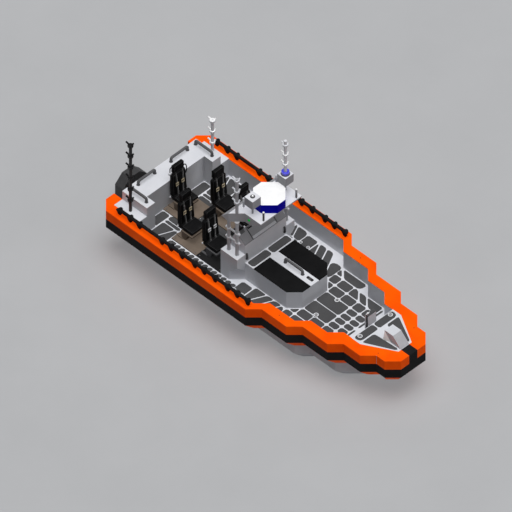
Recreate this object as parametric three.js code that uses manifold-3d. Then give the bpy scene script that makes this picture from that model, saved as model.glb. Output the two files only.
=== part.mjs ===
import * as THREE from 'three';
import { mergeVertices } from 'three/addons/utils/BufferGeometryUtils.js';
import Module from 'manifold-3d';

const wasm = await Module();
wasm.setup();

// Driving dimensions. The boat is laid out on a pitch of one block.
// X runs forward from the collar's aft end, Y to port, heights from the collar top.
const block = 250;                 // millimetres in one block
const waterline = -5;              // blocks, height of the water below the collar top
const seam = 0.3 / block;          // gap left between pieces that touch
const movingGap = 6 / block;       // gap left beside pieces that move

const collarHeight = -3;           // underside of the collar
const bandTop = -1;                // rubbing band on the collar's side
const bandFoot = -2;
const bandDepth = 0.24;
const soleTop = -2;                // cockpit floor and foredeck
const soleThickness = 0.2;
const linerThickness = 0.03;
const lipHeight = 0.06;            // lip of the collar over the cockpit wall
const transomX = 1;
const hullChine = -4;              // where the side turns into the chamfer
const hullFloor = -6;              // foot of the chamfer
const keelFoot = -6.75;

// Plan outlines of the port half, from the stern to the bow.
const collarOuter = [
  [0, 4.5], [0, 5.5], [1, 6.5], [18, 6.5], [19, 5.5], [22, 5.5], [23, 4.5],
  [26, 4.5], [27, 3.5], [29, 3.5], [30, 2.5], [31, 2.5], [32, 1.5], [32, 0.5],
];
const collarFoot = [
  [1, 4.5], [1, 5], [1.5, 5.5], [18, 5.5], [19, 4.5], [22, 4.5], [23, 3.5],
  [26, 3.5], [27, 2.5], [29, 2.5], [30, 1.5], [30.5, 1.85], [31.25, 1.1], [31.25, 0.5],
];
const collarInner = [
  [1, 4.5], [1, 5.5], [18, 5.5], [19, 4.5], [22, 4.5], [23, 3.5],
  [25, 3.5], [26, 2.5], [28, 2.5], [31, 0.8], [31, 0.5],
];
const wellEdge = [
  [4, 5.5], [18, 5.5], [19, 4.5], [22, 4.5], [23, 3.5], [25, 3.5], [26, 2.5], [27, 2.5],
];
const upperHullEdge = [
  [1, 5.5], [18, 5.5], [19, 4.5], [22, 4.5], [23, 3.5], [25, 3.5], [26, 2.5], [28, 2.5], [31, 0.8],
];
const hullSide = [[1, 4.5], [22, 4.5], [23, 3.5], [26, 3.5], [29, 0.5]];
const hullFoot = [[1, 2.5], [22, 2.5], [23, 1.5], [26, 1.5], [27, 0.5]];
const keelLine = [[1, 0.06], [21, 0.06], [22, 0.06], [24.5, 0.06], [25.6, 0.06]];

// Engine bay and engine.
const bay = { x: [1.3, 5.1], y: 1.6, floor: -5.4 };
const engine = { x: [1.5, 4.9], y: 1.4, z: [-5.4, -2.5] };

// Stern box with its arms and the side decks beside it.
const stern = { x: [1, 3], halfWidth: 4.5, top: 1, armX: [3, 4], armY: [3.5, 4.5], sideDeckX: [1, 4] };

// Forward trunk with two lids.
const trunk = { aft: 14, front: 20, corner: 19, halfWidth: 2.5, frontHalf: 1.5, top: 0, wall: 0.12 };
const lid = { aft: 15, inner: 0.5, thickness: 0.06, opening: 80 };

// Helm console, its wing boxes and screen.
const console_ = { halfWidth: 2.5, wingOuter: 3.5, wingX: [12, 14], wingTop: 1, cornerX: 13, cornerFoot: -0.95 };
const consoleProfile = [
  [12.9, -2], [14, -2], [14, 2.1], [13.94, 2.1], [13.03, 2.93], [12.8, 2.93], [12.3, 1.7], [12.3, 0.9], [12.9, 0.9],
];
const screen = { foot: [13.94, 2.1], head: [13, 2.957], thickness: 0.05, halfWidth: 2.5 };

// Roof on two ladder frames.
const post = { x: [12.5, 13.5], y: 3, foot: 1, head: 5, radius: 0.16 };
const rung = { heights: [2.5, 3.6], radius: 0.1, x: [12.2, 13.8] };
const roofPlan = [[15.9, 2.5], [13.95, 2.5], [12.95, 3.5], [12, 3.4]];
const roofProfile = [[12, 5], [14.6, 5], [15.9, 5.85], [15.9, 6], [12.95, 6]];
const roofTop = 6;

// Fittings on the roof.
const radar = { x: 14.43, half: 1.5, cut: 1, z: [6, 6.96] };
const lamp = { x: 14.4, y: 2, postRadius: 0.09, boxFoot: 7.05, boxTop: 8, half: 0.5 };
const stub = { x: [13.3, 15.73], radius: 0.085, top: 7.05 };
const beacon = { radius: 0.36, z: [8, 8.3] };

// Whip aerials: name, place, foot and tip of the pole, height of the first ring and the pitch of the rings.
const aerials = [
  { name: 'aerial_starboard', x: 2.5, y: -5, z: [0, 8], first: 1.33, pitch: 1.33, color: 0x1b1b1c },
  { name: 'aerial_port', x: 2.5, y: 5, z: [0, 4], first: 1.33, pitch: 1.33, color: 0xd5d6db },
  { name: 'aerial_roof', x: 13.4, y: -2.92, z: [6, 10.1], first: 1.25, pitch: 1.33, color: 0xd5d6db },
  { name: 'aerial_beacon', x: 14.4, y: 2, z: [8.3, 12], first: 0.87, pitch: 1.16, color: 0xd5d6db },
];
const aerialRadius = 0.15;

// Grab rails on the stern box and the trunk: name, feet and the tube's height.
const railRadius = 0.13;
const railHeight = 0.45;
const grabRails = [
  { name: 'stern_rail_port', from: [1.45, 1], to: [1.45, 3], foot: 1 },
  { name: 'stern_rail_starboard', from: [1.45, -1], to: [1.45, -3], foot: 1 },
  { name: 'arm_rail_port', from: [1.45, 4], to: [3.45, 4], foot: 1 },
  { name: 'arm_rail_starboard', from: [1.45, -4], to: [3.45, -4], foot: 1 },
  { name: 'trunk_rail', from: [16.4, 0], to: [18.5, 0], foot: 0 },
];

// Side rails that run along the collar.
const sideRail = { y: 5.93, z: 0.5, radius: 0.158, bead: 0.285, beadHalf: 0.2, crown: 0.05, footWidth: 0.22 };
const sideRailFeet = [2.17, 3.46, 4.6, 7.34, 8.46, 9.8, 11.34, 12.5, 13.81, 15.35, 16.5, 17.8];

// Seats: name, place and the colour of the base.
const seats = [
  { name: 'aft', x: 4.46, y: 0, pad: [3, 6], base: 0x716458 },
  { name: 'mid_port', x: 7.38, y: 2, pad: [6, 9], base: 0x716458 },
  { name: 'mid_starboard', x: 7.38, y: -2, pad: [6, 9], base: 0x716458 },
  { name: 'front_port', x: 10.38, y: 2, pad: [9, 12], base: 0x161617 },
  { name: 'front_starboard', x: 10.38, y: -2, pad: [9, 12], base: 0x161617 },
];
const padHalf = 1.5;
const padThickness = 0.12;
const seatTrack = { y: [0.74, 0.94], top: 0.22, length: 0.72 };
const pedestal = { half: 0.87, foot: [-0.78, -0.3], head: [-0.78, -0.06], pan: [-0.86, 0.49], panZ: [-1.2, -1.04] };
const seatHalf = 0.86;
const seatSide = [
  [-1.05, -0.98], [0.34, -0.98], [0.56, -0.84], [0.58, -0.62], [0.48, -0.53],
  [-0.84, -0.53], [-1.05, 1.95], [-1.35, 1.95], [-1.35, -0.62],
];
const seatShoulder = [0.2, 0.16];
const headrest = { x: [-1.42, -1.05], half: 0.62, z: [1.99, 2.87], chamfer: 0.1, neck: [-1.3, -1.12] };

// Helm wheel.
const wheel = { panel: [12.442, 2.05], y: -2, standOff: 0.36, radius: 0.62, tube: 0.06, hub: 0.13 };

// Waterjet behind the transom.
const jet = { centre: -4, ductHalf: 0.78, ductAft: -0.9, nozzleHalf: 0.5, nozzleAft: -1.75, pivotX: -0.9, mouthHalf: 0.62 };
const bucket = {
  x: [-2.93, -1.94], half: 1.45, chamfer: 0.85, top: -2.25, foot: -4.35,
  wall: 0.14, frontFoot: -3.3, pivotX: -0.7,
};

// Colours taken from the photo.
const lightGrey = 0xd5d6db;
const orange = 0xff5d00;
const black = 0x161617;
const seatBlack = 0x1a1a1b;
const railGrey = 0x4c4c4c;
const white = 0xffffff;
const blue = 0x1414c8;
const beaconBlue = 0x5a5ae0;
const jetGrey = 0x3e3e3f;
const engineGrey = 0x5b5f63;

// Helpers. Every one takes blocks and gives millimetres in the boat's frame.
const height = (z) => (z - waterline) * block;

function solidOf(geometry) {
  const clean = geometry.clone();
  clean.deleteAttribute('normal');
  clean.deleteAttribute('uv');
  const merged = mergeVertices(clean, 1e-4);
  return new wasm.Manifold(new wasm.Mesh({
    numProp: 3,
    vertProperties: new Float32Array(merged.attributes.position.array),
    triVerts: new Uint32Array(merged.index.array),
  }));
}

function geometryOf(solid) {
  const mesh = solid.getMesh();
  const geometry = new THREE.BufferGeometry();
  geometry.setAttribute('position', new THREE.BufferAttribute(new Float32Array(mesh.vertProperties), 3));
  geometry.setIndex(new THREE.BufferAttribute(new Uint32Array(mesh.triVerts), 1));
  return geometry;
}

const join = (...solids) => solids.reduce((sum, solid) => sum.add(solid));
const cut = (solid, ...tools) => tools.reduce((rest, tool) => rest.subtract(tool), solid);

function shapeOf(points) {
  const shape = new THREE.Shape(points.map(([u, v]) => new THREE.Vector2(u, v)));
  return shape;
}

// An outline in plan, extruded upwards.
function plan(points, low, high) {
  const outline = shapeOf(points.map(([x, y]) => [x * block, y * block]));
  const depth = (high - low) * block;
  const geometry = new THREE.ExtrudeGeometry(outline, { depth, bevelEnabled: false });
  geometry.translate(0, 0, height(low));
  return solidOf(geometry);
}

// An outline seen from the side (X and height), extruded across the boat.
function profile(points, fromY, toY) {
  const outline = shapeOf(points.map(([x, z]) => [x * block, height(z)]));
  const depth = (toY - fromY) * block;
  const geometry = new THREE.ExtrudeGeometry(outline, { depth, bevelEnabled: false });
  geometry.rotateX(Math.PI / 2);
  geometry.translate(0, toY * block, 0);
  return solidOf(geometry);
}

// An outline seen from ahead (Y and height), extruded along the boat.
function section(points, fromX, toX) {
  const outline = shapeOf(points.map(([y, z]) => [y * block, height(z)]));
  const depth = (toX - fromX) * block;
  const geometry = new THREE.ExtrudeGeometry(outline, { depth, bevelEnabled: false });
  geometry.applyMatrix4(new THREE.Matrix4().set(0, 0, 1, 0, 1, 0, 0, 0, 0, 1, 0, 0, 0, 0, 0, 1));
  geometry.translate(fromX * block, 0, 0);
  return solidOf(geometry);
}

function box(x0, x1, y0, y1, z0, z1) {
  return plan([[x0, y0], [x1, y0], [x1, y1], [x0, y1]], z0, z1);
}

function rod(from, to, radius, sides = 12) {
  const start = new THREE.Vector3(from[0] * block, from[1] * block, height(from[2]));
  const end = new THREE.Vector3(to[0] * block, to[1] * block, height(to[2]));
  const length = start.distanceTo(end);
  const geometry = new THREE.CylinderGeometry(radius * block, radius * block, length, sides);
  const turn = new THREE.Quaternion().setFromUnitVectors(
    new THREE.Vector3(0, 1, 0),
    end.clone().sub(start).normalize(),
  );
  geometry.applyQuaternion(turn);
  const middle = start.clone().add(end).multiplyScalar(0.5);
  geometry.translate(middle.x, middle.y, middle.z);
  return solidOf(geometry);
}

// A closed loop of points at each height, joined into one skin.
function loft(rings) {
  const count = rings[0].points.length;
  const position = [];
  for (const ring of rings) {
    for (const [x, y] of ring.points) {
      position.push(x * block, y * block, height(ring.z));
    }
  }
  const index = [];
  for (let level = 0; level < rings.length - 1; level += 1) {
    for (let i = 0; i < count; i += 1) {
      const next = (i + 1) % count;
      const a = level * count + i;
      const b = level * count + next;
      index.push(a, b, b + count, a, b + count, a + count);
    }
  }
  const capOf = (ring) => THREE.ShapeUtils.triangulateShape(
    ring.points.map(([x, y]) => new THREE.Vector2(x, y)),
    [],
  );
  for (const [a, b, c] of capOf(rings[0])) {
    index.push(c, b, a);
  }
  const top = (rings.length - 1) * count;
  for (const [a, b, c] of capOf(rings[rings.length - 1])) {
    index.push(top + a, top + b, top + c);
  }
  const geometry = new THREE.BufferGeometry();
  geometry.setAttribute('position', new THREE.BufferAttribute(new Float32Array(position), 3));
  geometry.setIndex(index);
  return solidOf(geometry);
}

// The port half of an outline with its mirror image, anticlockwise from above.
function bothHalves(points) {
  const starboard = points.map(([x, y]) => [x, -y]);
  return [...starboard, ...points.slice().reverse()];
}

const mirrored = (points, side) => points.map(([x, y]) => [x, y * side]);

// A line moved inboard by a distance, with mitred corners.
function inboard(points, distance) {
  const normals = points.slice(1).map(([x, y], i) => {
    const dx = x - points[i][0];
    const dy = y - points[i][1];
    const length = Math.hypot(dx, dy);
    return [dy / length, -dx / length];
  });
  return points.map(([x, y], i) => {
    const before = normals[Math.max(i - 1, 0)];
    const after = normals[Math.min(i, normals.length - 1)];
    const scale = distance / (1 + before[0] * after[0] + before[1] * after[1]);
    return [x + (before[0] + after[0]) * scale, y + (before[1] + after[1]) * scale];
  });
}

const root = new THREE.Group();
root.name = 'inshore_rescue_boat';

function piece(name, solid, color) {
  const material = new THREE.MeshStandardMaterial({ color, roughness: 0.6 });
  const mesh = new THREE.Mesh(geometryOf(solid), material);
  mesh.name = name;
  root.add(mesh);
}

// Hull: sides, chamfers and a shallow V bottom, with the engine bay let in.
const hullLower = loft([
  { z: keelFoot, points: bothHalves(keelLine) },
  { z: hullFloor, points: bothHalves(hullFoot) },
  { z: hullChine, points: bothHalves(hullSide) },
  { z: collarHeight, points: bothHalves(hullSide) },
]);
const hullUpper = plan(bothHalves(inboard(upperHullEdge, seam)), collarHeight, soleTop - soleThickness);
const engineBay = box(bay.x[0], bay.x[1], -bay.y, bay.y, bay.floor, soleTop);
piece('hull', cut(join(hullLower, hullUpper), engineBay), lightGrey);
piece(
  'engine',
  box(engine.x[0], engine.x[1], -engine.y, engine.y, engine.z[0] + seam, engine.z[1]),
  engineGrey,
);

// Cockpit moulding: the sole and the walls up to the collar.
const soleEdge = [[transomX, 5.5], ...wellEdge.slice(1)];
const sole = plan(bothHalves(inboard(soleEdge, seam)), soleTop - soleThickness + seam, soleTop);
const wallOf = (side) => {
  const outer = inboard(wellEdge, seam);
  const inner = outer.map(([x, y]) => [x, y - linerThickness]);
  outer[0][0] += seam;
  inner[0][0] += seam;
  outer[outer.length - 1][0] -= seam;
  inner[inner.length - 1][0] -= seam;
  return plan(mirrored([...outer, ...inner.reverse()], side), soleTop - 0.05, -lipHeight - seam);
};
piece('cockpit_moulding', join(sole, wallOf(1), wallOf(-1)), lightGrey);

// Collar halves with a groove for the rubbing band and a chamfer below it.
for (const [name, side] of [['port', 1], ['starboard', -1]]) {
  const inner = collarInner.slice().reverse();
  const nose = collarOuter.length - 1;
  const outer = collarOuter.map(([x, y], i) => (i === nose ? [x, y + seam] : [x, y]));
  inner[0] = [inner[0][0], inner[0][1] + seam];
  const ringPlan = mirrored([...outer, ...inner], side);
  const groove = mirrored([...inboard(outer, bandDepth + seam), ...inner], side);
  const upper = plan(ringPlan, bandTop, 0);
  const middle = plan(groove, bandFoot - 0.01, bandTop + 0.01);
  const under = loft([
    { z: collarHeight, points: bothHalves(collarFoot) },
    { z: bandFoot, points: bothHalves(collarOuter) },
  ]).intersect(plan(ringPlan, collarHeight, bandFoot));
  const lipEdge = wellEdge.map(([x, y]) => [Math.min(Math.max(x, 4 + seam), 27 - seam), y + 0.05]);
  const lipInner = lipEdge.map(([x, y]) => [x, y - 0.05 - linerThickness]).reverse();
  const lip = plan(mirrored([...lipEdge, ...lipInner], side), -lipHeight, 0);
  piece(`collar_${name}`, join(upper, middle, under, lip), orange);
}

// Rubbing band round the collar with the bow fender.
const bandLine = collarOuter.map(([x, y], i) => (i === collarOuter.length - 1 ? [x, 0.4] : [x, y]));
const bandRing = [...bandLine, ...inboard(bandLine, bandDepth).reverse()];
const bandOf = (side) => plan(mirrored(bandRing, side), bandFoot + seam, bandTop - seam);
const fender = profile([[31 + seam, 0], [32, 0], [32, -2], [31 + seam, -3]], -0.5, 0.5);
piece('rubbing_band', join(fender, bandOf(1), bandOf(-1)), black);

// Bow deck with its central box and ramp, and the post behind it.
const bowEdge = inboard([[27, 2.5], [28, 2.5], [31, 0.8]], seam);
const bowDeck = plan(bothHalves(bowEdge), soleTop - soleThickness + seam, 0);
const bowBox = profile([[29, -0.1], [29, 1], [30, 1], [31 - seam, 0], [31 - seam, -0.1]], -0.5, 0.5);
const soleTongue = box(26.9, 27 + 2 * seam, -2.6, 2.6, soleTop - soleThickness - 0.1, soleTop + seam);
piece('bow_deck', cut(join(bowDeck, bowBox), soleTongue), lightGrey);
piece('bow_post', box(26.58, 26.95, -0.5, 0.5, soleTop + seam, 1.15), lightGrey);

// Stern box moulding.
const sternBox = box(stern.x[0] + seam, stern.x[1], -stern.halfWidth, stern.halfWidth, soleTop + seam, stern.top);
const sternArms = [1, -1].map((side) => {
  const [near, far] = stern.armY.map((y) => y * side).sort((a, b) => a - b);
  return box(stern.armX[0] - 0.1, stern.armX[1], near, far, soleTop + seam, stern.top);
});
const sideDecks = [1, -1].map((side) => {
  const [near, far] = [4.4 * side, (5.5 - 2 * seam) * side].sort((a, b) => a - b);
  return box(stern.sideDeckX[0] + seam, stern.sideDeckX[1], near, far, soleTop + seam, 0);
});
piece('stern_box', join(sternBox, ...sternArms, ...sideDecks), lightGrey);

// Trunk with an open locker under the two lids.
const trunkEdge = [
  [trunk.aft + seam, trunk.halfWidth], [trunk.corner, trunk.halfWidth], [trunk.front, trunk.frontHalf],
];
const trunkInner = inboard(trunkEdge, trunk.wall);
trunkInner[0][0] += trunk.wall;
trunkInner[2][0] -= trunk.wall;
trunkInner[2][1] -= 0.05;
const trunkRing = cut(
  plan(bothHalves(trunkEdge), soleTop + seam, trunk.top),
  plan(bothHalves(trunkInner), soleTop - 0.1, trunk.top - lid.thickness - 0.06),
);
const lidWells = [1, -1].map((side) => plan(
  mirrored([[lid.aft, lid.inner], [20.1, lid.inner], [20.1, 2.6], [lid.aft, 2.6]], side),
  trunk.top - lid.thickness,
  0.1,
));
const lidMouths = [1, -1].map((side) => plan(
  mirrored([
    [lid.aft + 0.15, lid.inner + 0.15], [trunk.front - 0.27, lid.inner + 0.15],
    [trunk.front - 0.27, trunk.frontHalf - 0.15], [trunk.corner - 0.15, trunk.halfWidth - 0.27],
    [lid.aft + 0.15, trunk.halfWidth - 0.27],
  ], side),
  trunk.top - 1,
  0.1,
));
piece('trunk', cut(trunkRing, ...lidWells, ...lidMouths), lightGrey);
for (const [name, side] of [['port', 1], ['starboard', -1]]) {
  const inner = lid.inner + movingGap;
  const aft = lid.aft + movingGap;
  const edge = [
    [aft, inner], [trunk.front, inner], [trunk.front, trunk.frontHalf],
    [trunk.corner, trunk.halfWidth], [aft, trunk.halfWidth],
  ];
  piece(`lid_${name}`, plan(mirrored(edge, side), trunk.top - lid.thickness + seam, trunk.top), black);
}

// Helm console with the wing boxes, and the raked screen on it.
const wings = [1, -1].flatMap((side) => {
  const [x0, x1] = console_.wingX;
  const upper = [[x0, 2.4], [x1, 2.4], [x1, console_.wingOuter], [x0, console_.wingOuter]];
  const lower = [
    [x0, 2.4], [x1, 2.4], [x1, console_.halfWidth],
    [console_.cornerX, console_.wingOuter], [x0, console_.wingOuter],
  ];
  return [
    plan(mirrored(upper, side), -0.01, console_.wingTop),
    plan(mirrored(lower, side), soleTop + seam, console_.cornerFoot + 0.01),
    wasm.Manifold.hull([
      plan(mirrored(lower, side), console_.cornerFoot, console_.cornerFoot + 0.001),
      plan(mirrored(upper, side), -0.001, 0),
    ]),
  ];
});
const consoleFoot = box(11, 15, -4, 4, soleTop - 1, soleTop + seam);
const consoleBody = profile(consoleProfile, -console_.halfWidth, console_.halfWidth);
piece('console', join(cut(consoleBody, consoleFoot), ...wings), lightGrey);

const slope = Math.hypot(screen.head[0] - screen.foot[0], screen.head[1] - screen.foot[1]);
const across = [
  (screen.head[1] - screen.foot[1]) / slope,
  (screen.foot[0] - screen.head[0]) / slope,
];
const screenLine = [
  [screen.foot[0] + across[0] * seam, screen.foot[1] + across[1] * seam],
  [screen.head[0] + across[0] * seam, screen.head[1] + across[1] * seam],
];
piece('screen', profile([
  screenLine[0],
  [screenLine[0][0] + across[0] * screen.thickness, screenLine[0][1] + across[1] * screen.thickness],
  [screenLine[1][0] + across[0] * screen.thickness, screenLine[1][1] + across[1] * screen.thickness],
  screenLine[1],
], -screen.halfWidth, screen.halfWidth), 0x5e5e5e);

// Ladder frames and the roof.
for (const [name, side] of [['port', 1], ['starboard', -1]]) {
  const posts = post.x.map((x) => rod(
    [x, post.y * side, post.foot + seam],
    [x, post.y * side, post.head - seam],
    post.radius,
  ));
  const rungs = rung.heights.map((z) => rod(
    [rung.x[0], post.y * side, z],
    [rung.x[1], post.y * side, z],
    rung.radius,
  ));
  piece(`roof_frame_${name}`, join(...posts, ...rungs), white);
}
const roof = plan(bothHalves(roofPlan.slice().reverse()), 4.9, 6.1)
  .intersect(profile(roofProfile, -4, 4));
const roofStubs = [1, -1].flatMap((side) => stub.x.map((x) => rod(
  [x, lamp.y * side, roofTop - 0.05],
  [x, lamp.y * side, stub.top],
  stub.radius,
)));
piece('roof', join(roof, ...roofStubs), lightGrey);

// Radar dome.
const radarEdge = (half, corner) => [
  [-half, -corner], [-corner, -half], [corner, -half], [half, -corner],
  [half, corner], [corner, half], [-corner, half], [-half, corner],
].map(([x, y]) => [x + radar.x, y]);
piece(
  'radar',
  plan(radarEdge(radar.half, radar.half - radar.cut), radar.z[0] + seam, radar.z[1]),
  blue,
);

// Lamp boxes on posts, one under a small dome and one under the beacon.
for (const [name, side] of [['port', 1], ['starboard', -1]]) {
  const y = lamp.y * side;
  const foot = roofTop + seam;
  const centre = rod([lamp.x, y, foot], [lamp.x, y, lamp.boxFoot + 0.1], lamp.postRadius);
  const head = box(lamp.x - lamp.half, lamp.x + lamp.half, y - lamp.half, y + lamp.half, lamp.boxFoot, lamp.boxTop);
  piece(`lamp_mast_${name}`, join(centre, head), lightGrey);
}
piece(
  'beacon',
  rod([lamp.x, lamp.y, beacon.z[0] + seam], [lamp.x, lamp.y, beacon.z[1]], beacon.radius, 20),
  beaconBlue,
);

// Whip aerials with their rings and stub elements.
for (const aerial of aerials) {
  const [foot, tip] = aerial.z;
  const pole = rod([aerial.x, aerial.y, foot + seam], [aerial.x, aerial.y, tip], aerialRadius, 12);
  const parts = [];
  const rings = Math.floor((tip - foot - aerial.first) / aerial.pitch + 1);
  for (let i = 0; i < rings; i += 1) {
    const z = Math.min(foot + aerial.first + i * aerial.pitch, tip - 0.08);
    parts.push(rod([aerial.x, aerial.y, z - 0.09], [aerial.x, aerial.y, z + 0.09], 0.26, 12));
    parts.push(rod([aerial.x, aerial.y, z], [aerial.x - 0.5, aerial.y, z + 0.12], 0.07, 8));
    parts.push(rod([aerial.x, aerial.y, z], [aerial.x, aerial.y + 0.34, z], 0.06, 8));
  }
  piece(aerial.name, join(pole, ...parts), aerial.color);
}

// Grab rails: one bent tube each.
function grabRail(from, to, foot) {
  const low = height(foot) + seam * block;
  const high = height(foot + railHeight);
  const bend = 0.18 * block;
  const start = new THREE.Vector3(from[0] * block, from[1] * block, low);
  const end = new THREE.Vector3(to[0] * block, to[1] * block, low);
  const along = end.clone().sub(start).normalize().multiplyScalar(bend);
  const up = new THREE.Vector3(0, 0, high - low);
  const curve = new THREE.CurvePath();
  const startTop = start.clone().add(up);
  const endTop = end.clone().add(up);
  const drop = new THREE.Vector3(0, 0, -bend);
  curve.add(new THREE.LineCurve3(start, startTop.clone().add(drop)));
  curve.add(new THREE.QuadraticBezierCurve3(startTop.clone().add(drop), startTop, startTop.clone().add(along)));
  curve.add(new THREE.LineCurve3(startTop.clone().add(along), endTop.clone().sub(along)));
  curve.add(new THREE.QuadraticBezierCurve3(endTop.clone().sub(along), endTop, endTop.clone().add(drop)));
  curve.add(new THREE.LineCurve3(endTop.clone().add(drop), end));
  const circle = new THREE.Shape();
  circle.absarc(0, 0, railRadius * block, 0, Math.PI * 2);
  return solidOf(new THREE.ExtrudeGeometry(circle, { steps: 36, extrudePath: curve, curveSegments: 10 }));
}
for (const rail of grabRails) {
  piece(rail.name, grabRail(rail.from, rail.to, rail.foot), railGrey);
}

// Side rails along the collar with a braced foot under each bead.
for (const [name, side] of [['port', 1], ['starboard', -1]]) {
  const y = sideRail.y * side;
  const half = sideRail.footWidth / 2;
  const aft = sideRailFeet[0] - 0.2;
  const front = sideRailFeet[sideRailFeet.length - 1] + 0.2;
  const parts = [rod([aft, y, sideRail.z], [front, y, sideRail.z], sideRail.radius, 12)];
  for (const x of sideRailFeet) {
    parts.push(wasm.Manifold.hull([
      rod([x - sideRail.beadHalf, y, sideRail.z], [x + sideRail.beadHalf, y, sideRail.z], sideRail.radius, 12),
      rod([x - sideRail.crown, y, sideRail.z], [x + sideRail.crown, y, sideRail.z], sideRail.bead, 12),
    ]));
    const foot = [[x - 0.42, sideRail.z - 0.1], [x - 0.12, seam], [x + 0.1, seam], [x + 0.14, sideRail.z]];
    parts.push(profile(foot, y - half, y + half));
  }
  piece(`side_rail_${name}`, join(...parts), black);
}

// Seats: a base on the sole and a shaped seat on it.
for (const seat of seats) {
  const { x, y } = seat;
  const floor = soleTop + seam;
  const pad = box(seat.pad[0] + seam, seat.pad[1] - seam, y - padHalf, y + padHalf, floor, soleTop + padThickness);
  const tracks = [1, -1].map((side) => {
    const [near, far] = seatTrack.y.map((offset) => y + offset * side).sort((c, d) => c - d);
    const start = seat.pad[0] + 0.03;
    return box(start, start + seatTrack.length, near, far, soleTop + 0.05, soleTop + seatTrack.top);
  });
  const leg = profile([
    [x + pedestal.foot[0], soleTop + 0.05], [x + pedestal.foot[1], soleTop + 0.05],
    [x + pedestal.head[1], pedestal.panZ[0] + 0.02], [x + pedestal.head[0], pedestal.panZ[0] + 0.02],
  ], y - pedestal.half, y + pedestal.half);
  const pan = box(
    x + pedestal.pan[0], x + pedestal.pan[1],
    y - pedestal.half, y + pedestal.half,
    pedestal.panZ[0], pedestal.panZ[1],
  );
  const spacer = box(x - 0.7, x + 0.3, y - 0.55, y + 0.55, pedestal.panZ[1] - 0.02, seatSide[0][1] - seam);
  piece(`seat_base_${seat.name}`, join(pad, leg, pan, spacer, ...tracks), seat.base);

  const shell = profile(seatSide.map(([u, z]) => [x + u, z]), y - seatHalf, y + seatHalf);
  const [cutIn, cutDown] = seatShoulder;
  const top = seatSide[6][1];
  const front = section([
    [y - seatHalf, -0.8], [y - seatHalf + 0.2, -1], [y + seatHalf - 0.2, -1], [y + seatHalf, -0.8],
    [y + seatHalf, top - cutDown], [y + seatHalf - cutIn, top],
    [y - seatHalf + cutIn, top], [y - seatHalf, top - cutDown],
  ], x - 1.5, x + 1);
  const h = headrest.chamfer;
  const headFace = section([
    [y - headrest.half, headrest.z[0] + h], [y - headrest.half + h, headrest.z[0]],
    [y + headrest.half - h, headrest.z[0]], [y + headrest.half, headrest.z[0] + h],
    [y + headrest.half, headrest.z[1] - h], [y + headrest.half - h, headrest.z[1]],
    [y - headrest.half + h, headrest.z[1]], [y - headrest.half, headrest.z[1] - h],
  ], x + headrest.x[0], x + headrest.x[1]);
  const [neckAft, neckFront] = headrest.neck;
  const neck = box(x + neckAft, x + neckFront, y - 0.35, y + 0.35, top - 0.1, headrest.z[0] + 0.1);
  piece(`seat_${seat.name}`, join(shell.intersect(front), neck, headFace), seatBlack);
}

// Helm wheel on a short shaft.
const panelRise = [12.8 - 12.3, 2.93 - 1.7];
const panelLength = Math.hypot(...panelRise);
const shaftWay = [-panelRise[1] / panelLength, panelRise[0] / panelLength];
const wheelAt = [
  wheel.panel[0] + shaftWay[0] * wheel.standOff,
  wheel.y,
  wheel.panel[1] + shaftWay[1] * wheel.standOff,
];
const rim = new THREE.TorusGeometry(wheel.radius * block, wheel.tube * block, 8, 32);
const rimTurn = new THREE.Quaternion().setFromUnitVectors(
  new THREE.Vector3(0, 0, 1),
  new THREE.Vector3(shaftWay[0], 0, shaftWay[1]),
);
rim.applyQuaternion(rimTurn);
rim.translate(wheelAt[0] * block, wheelAt[1] * block, height(wheelAt[2]));
const spokes = [90, 210, 330].map((angle) => {
  const a = THREE.MathUtils.degToRad(angle);
  const reach = new THREE.Vector3(Math.cos(a), Math.sin(a), 0).applyQuaternion(rimTurn);
  const tip = [reach.x, reach.y, reach.z].map((part, i) => wheelAt[i] + part * wheel.radius);
  return rod(wheelAt, tip, 0.045, 8);
});
const alongShaft = (distance) => [
  wheelAt[0] + shaftWay[0] * distance, wheel.y, wheelAt[2] + shaftWay[1] * distance,
];
const hub = join(
  rod(alongShaft(-0.1), alongShaft(0.1), wheel.hub, 16),
  rod(alongShaft(seam - wheel.standOff), alongShaft(0), 0.07, 12),
);
piece('helm_wheel', join(solidOf(rim), hub, ...spokes), black);

// Waterjet: duct fixed to the transom, steering nozzle and reversing bucket.
const octagon = (half, middle, c) => [
  [-half, middle - half + c], [-half + c, middle - half], [half - c, middle - half], [half, middle - half + c],
  [half, middle + half - c], [half - c, middle + half], [-half + c, middle + half], [-half, middle + half - c],
];
const duct = section(octagon(jet.ductHalf, jet.centre, 0.3), jet.ductAft, transomX - seam);
const flange = section(octagon(1.1, jet.centre, 0.3), transomX - 0.25, transomX - seam);
const armFace = bucket.half - bucket.wall;
const lugs = box(bucket.pivotX - 0.2, bucket.pivotX + 0.2, 0.05 - armFace, armFace - 0.05, -4.2, -3.8);
const trunnion = rod(
  [bucket.pivotX, seam - armFace, jet.centre],
  [bucket.pivotX, armFace - seam, jet.centre],
  0.14,
  16,
);
const ears = box(jet.pivotX - 0.15, jet.ductAft + 0.1, -0.2, 0.2, jet.centre - jet.ductHalf, jet.centre + jet.ductHalf);
const mouth = octagon(jet.mouthHalf, jet.centre, 0.24);
piece('jet_duct', cut(join(duct, flange, lugs, trunnion, ears), section(mouth, -1.2, 0.4)), jetGrey);
const nozzleOuter = section(octagon(jet.nozzleHalf, jet.centre, 0.2), jet.nozzleAft, jet.pivotX + 0.2);
const nozzleInner = section(octagon(jet.nozzleHalf - 0.12, jet.centre, 0.18), jet.nozzleAft - 0.1, jet.pivotX + 0.3);
const pins = rod(
  [jet.pivotX, 0, jet.centre - jet.mouthHalf + seam],
  [jet.pivotX, 0, jet.centre + jet.mouthHalf - seam],
  0.08,
);
piece('jet_nozzle', cut(join(nozzleOuter, pins), nozzleInner), black);

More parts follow.
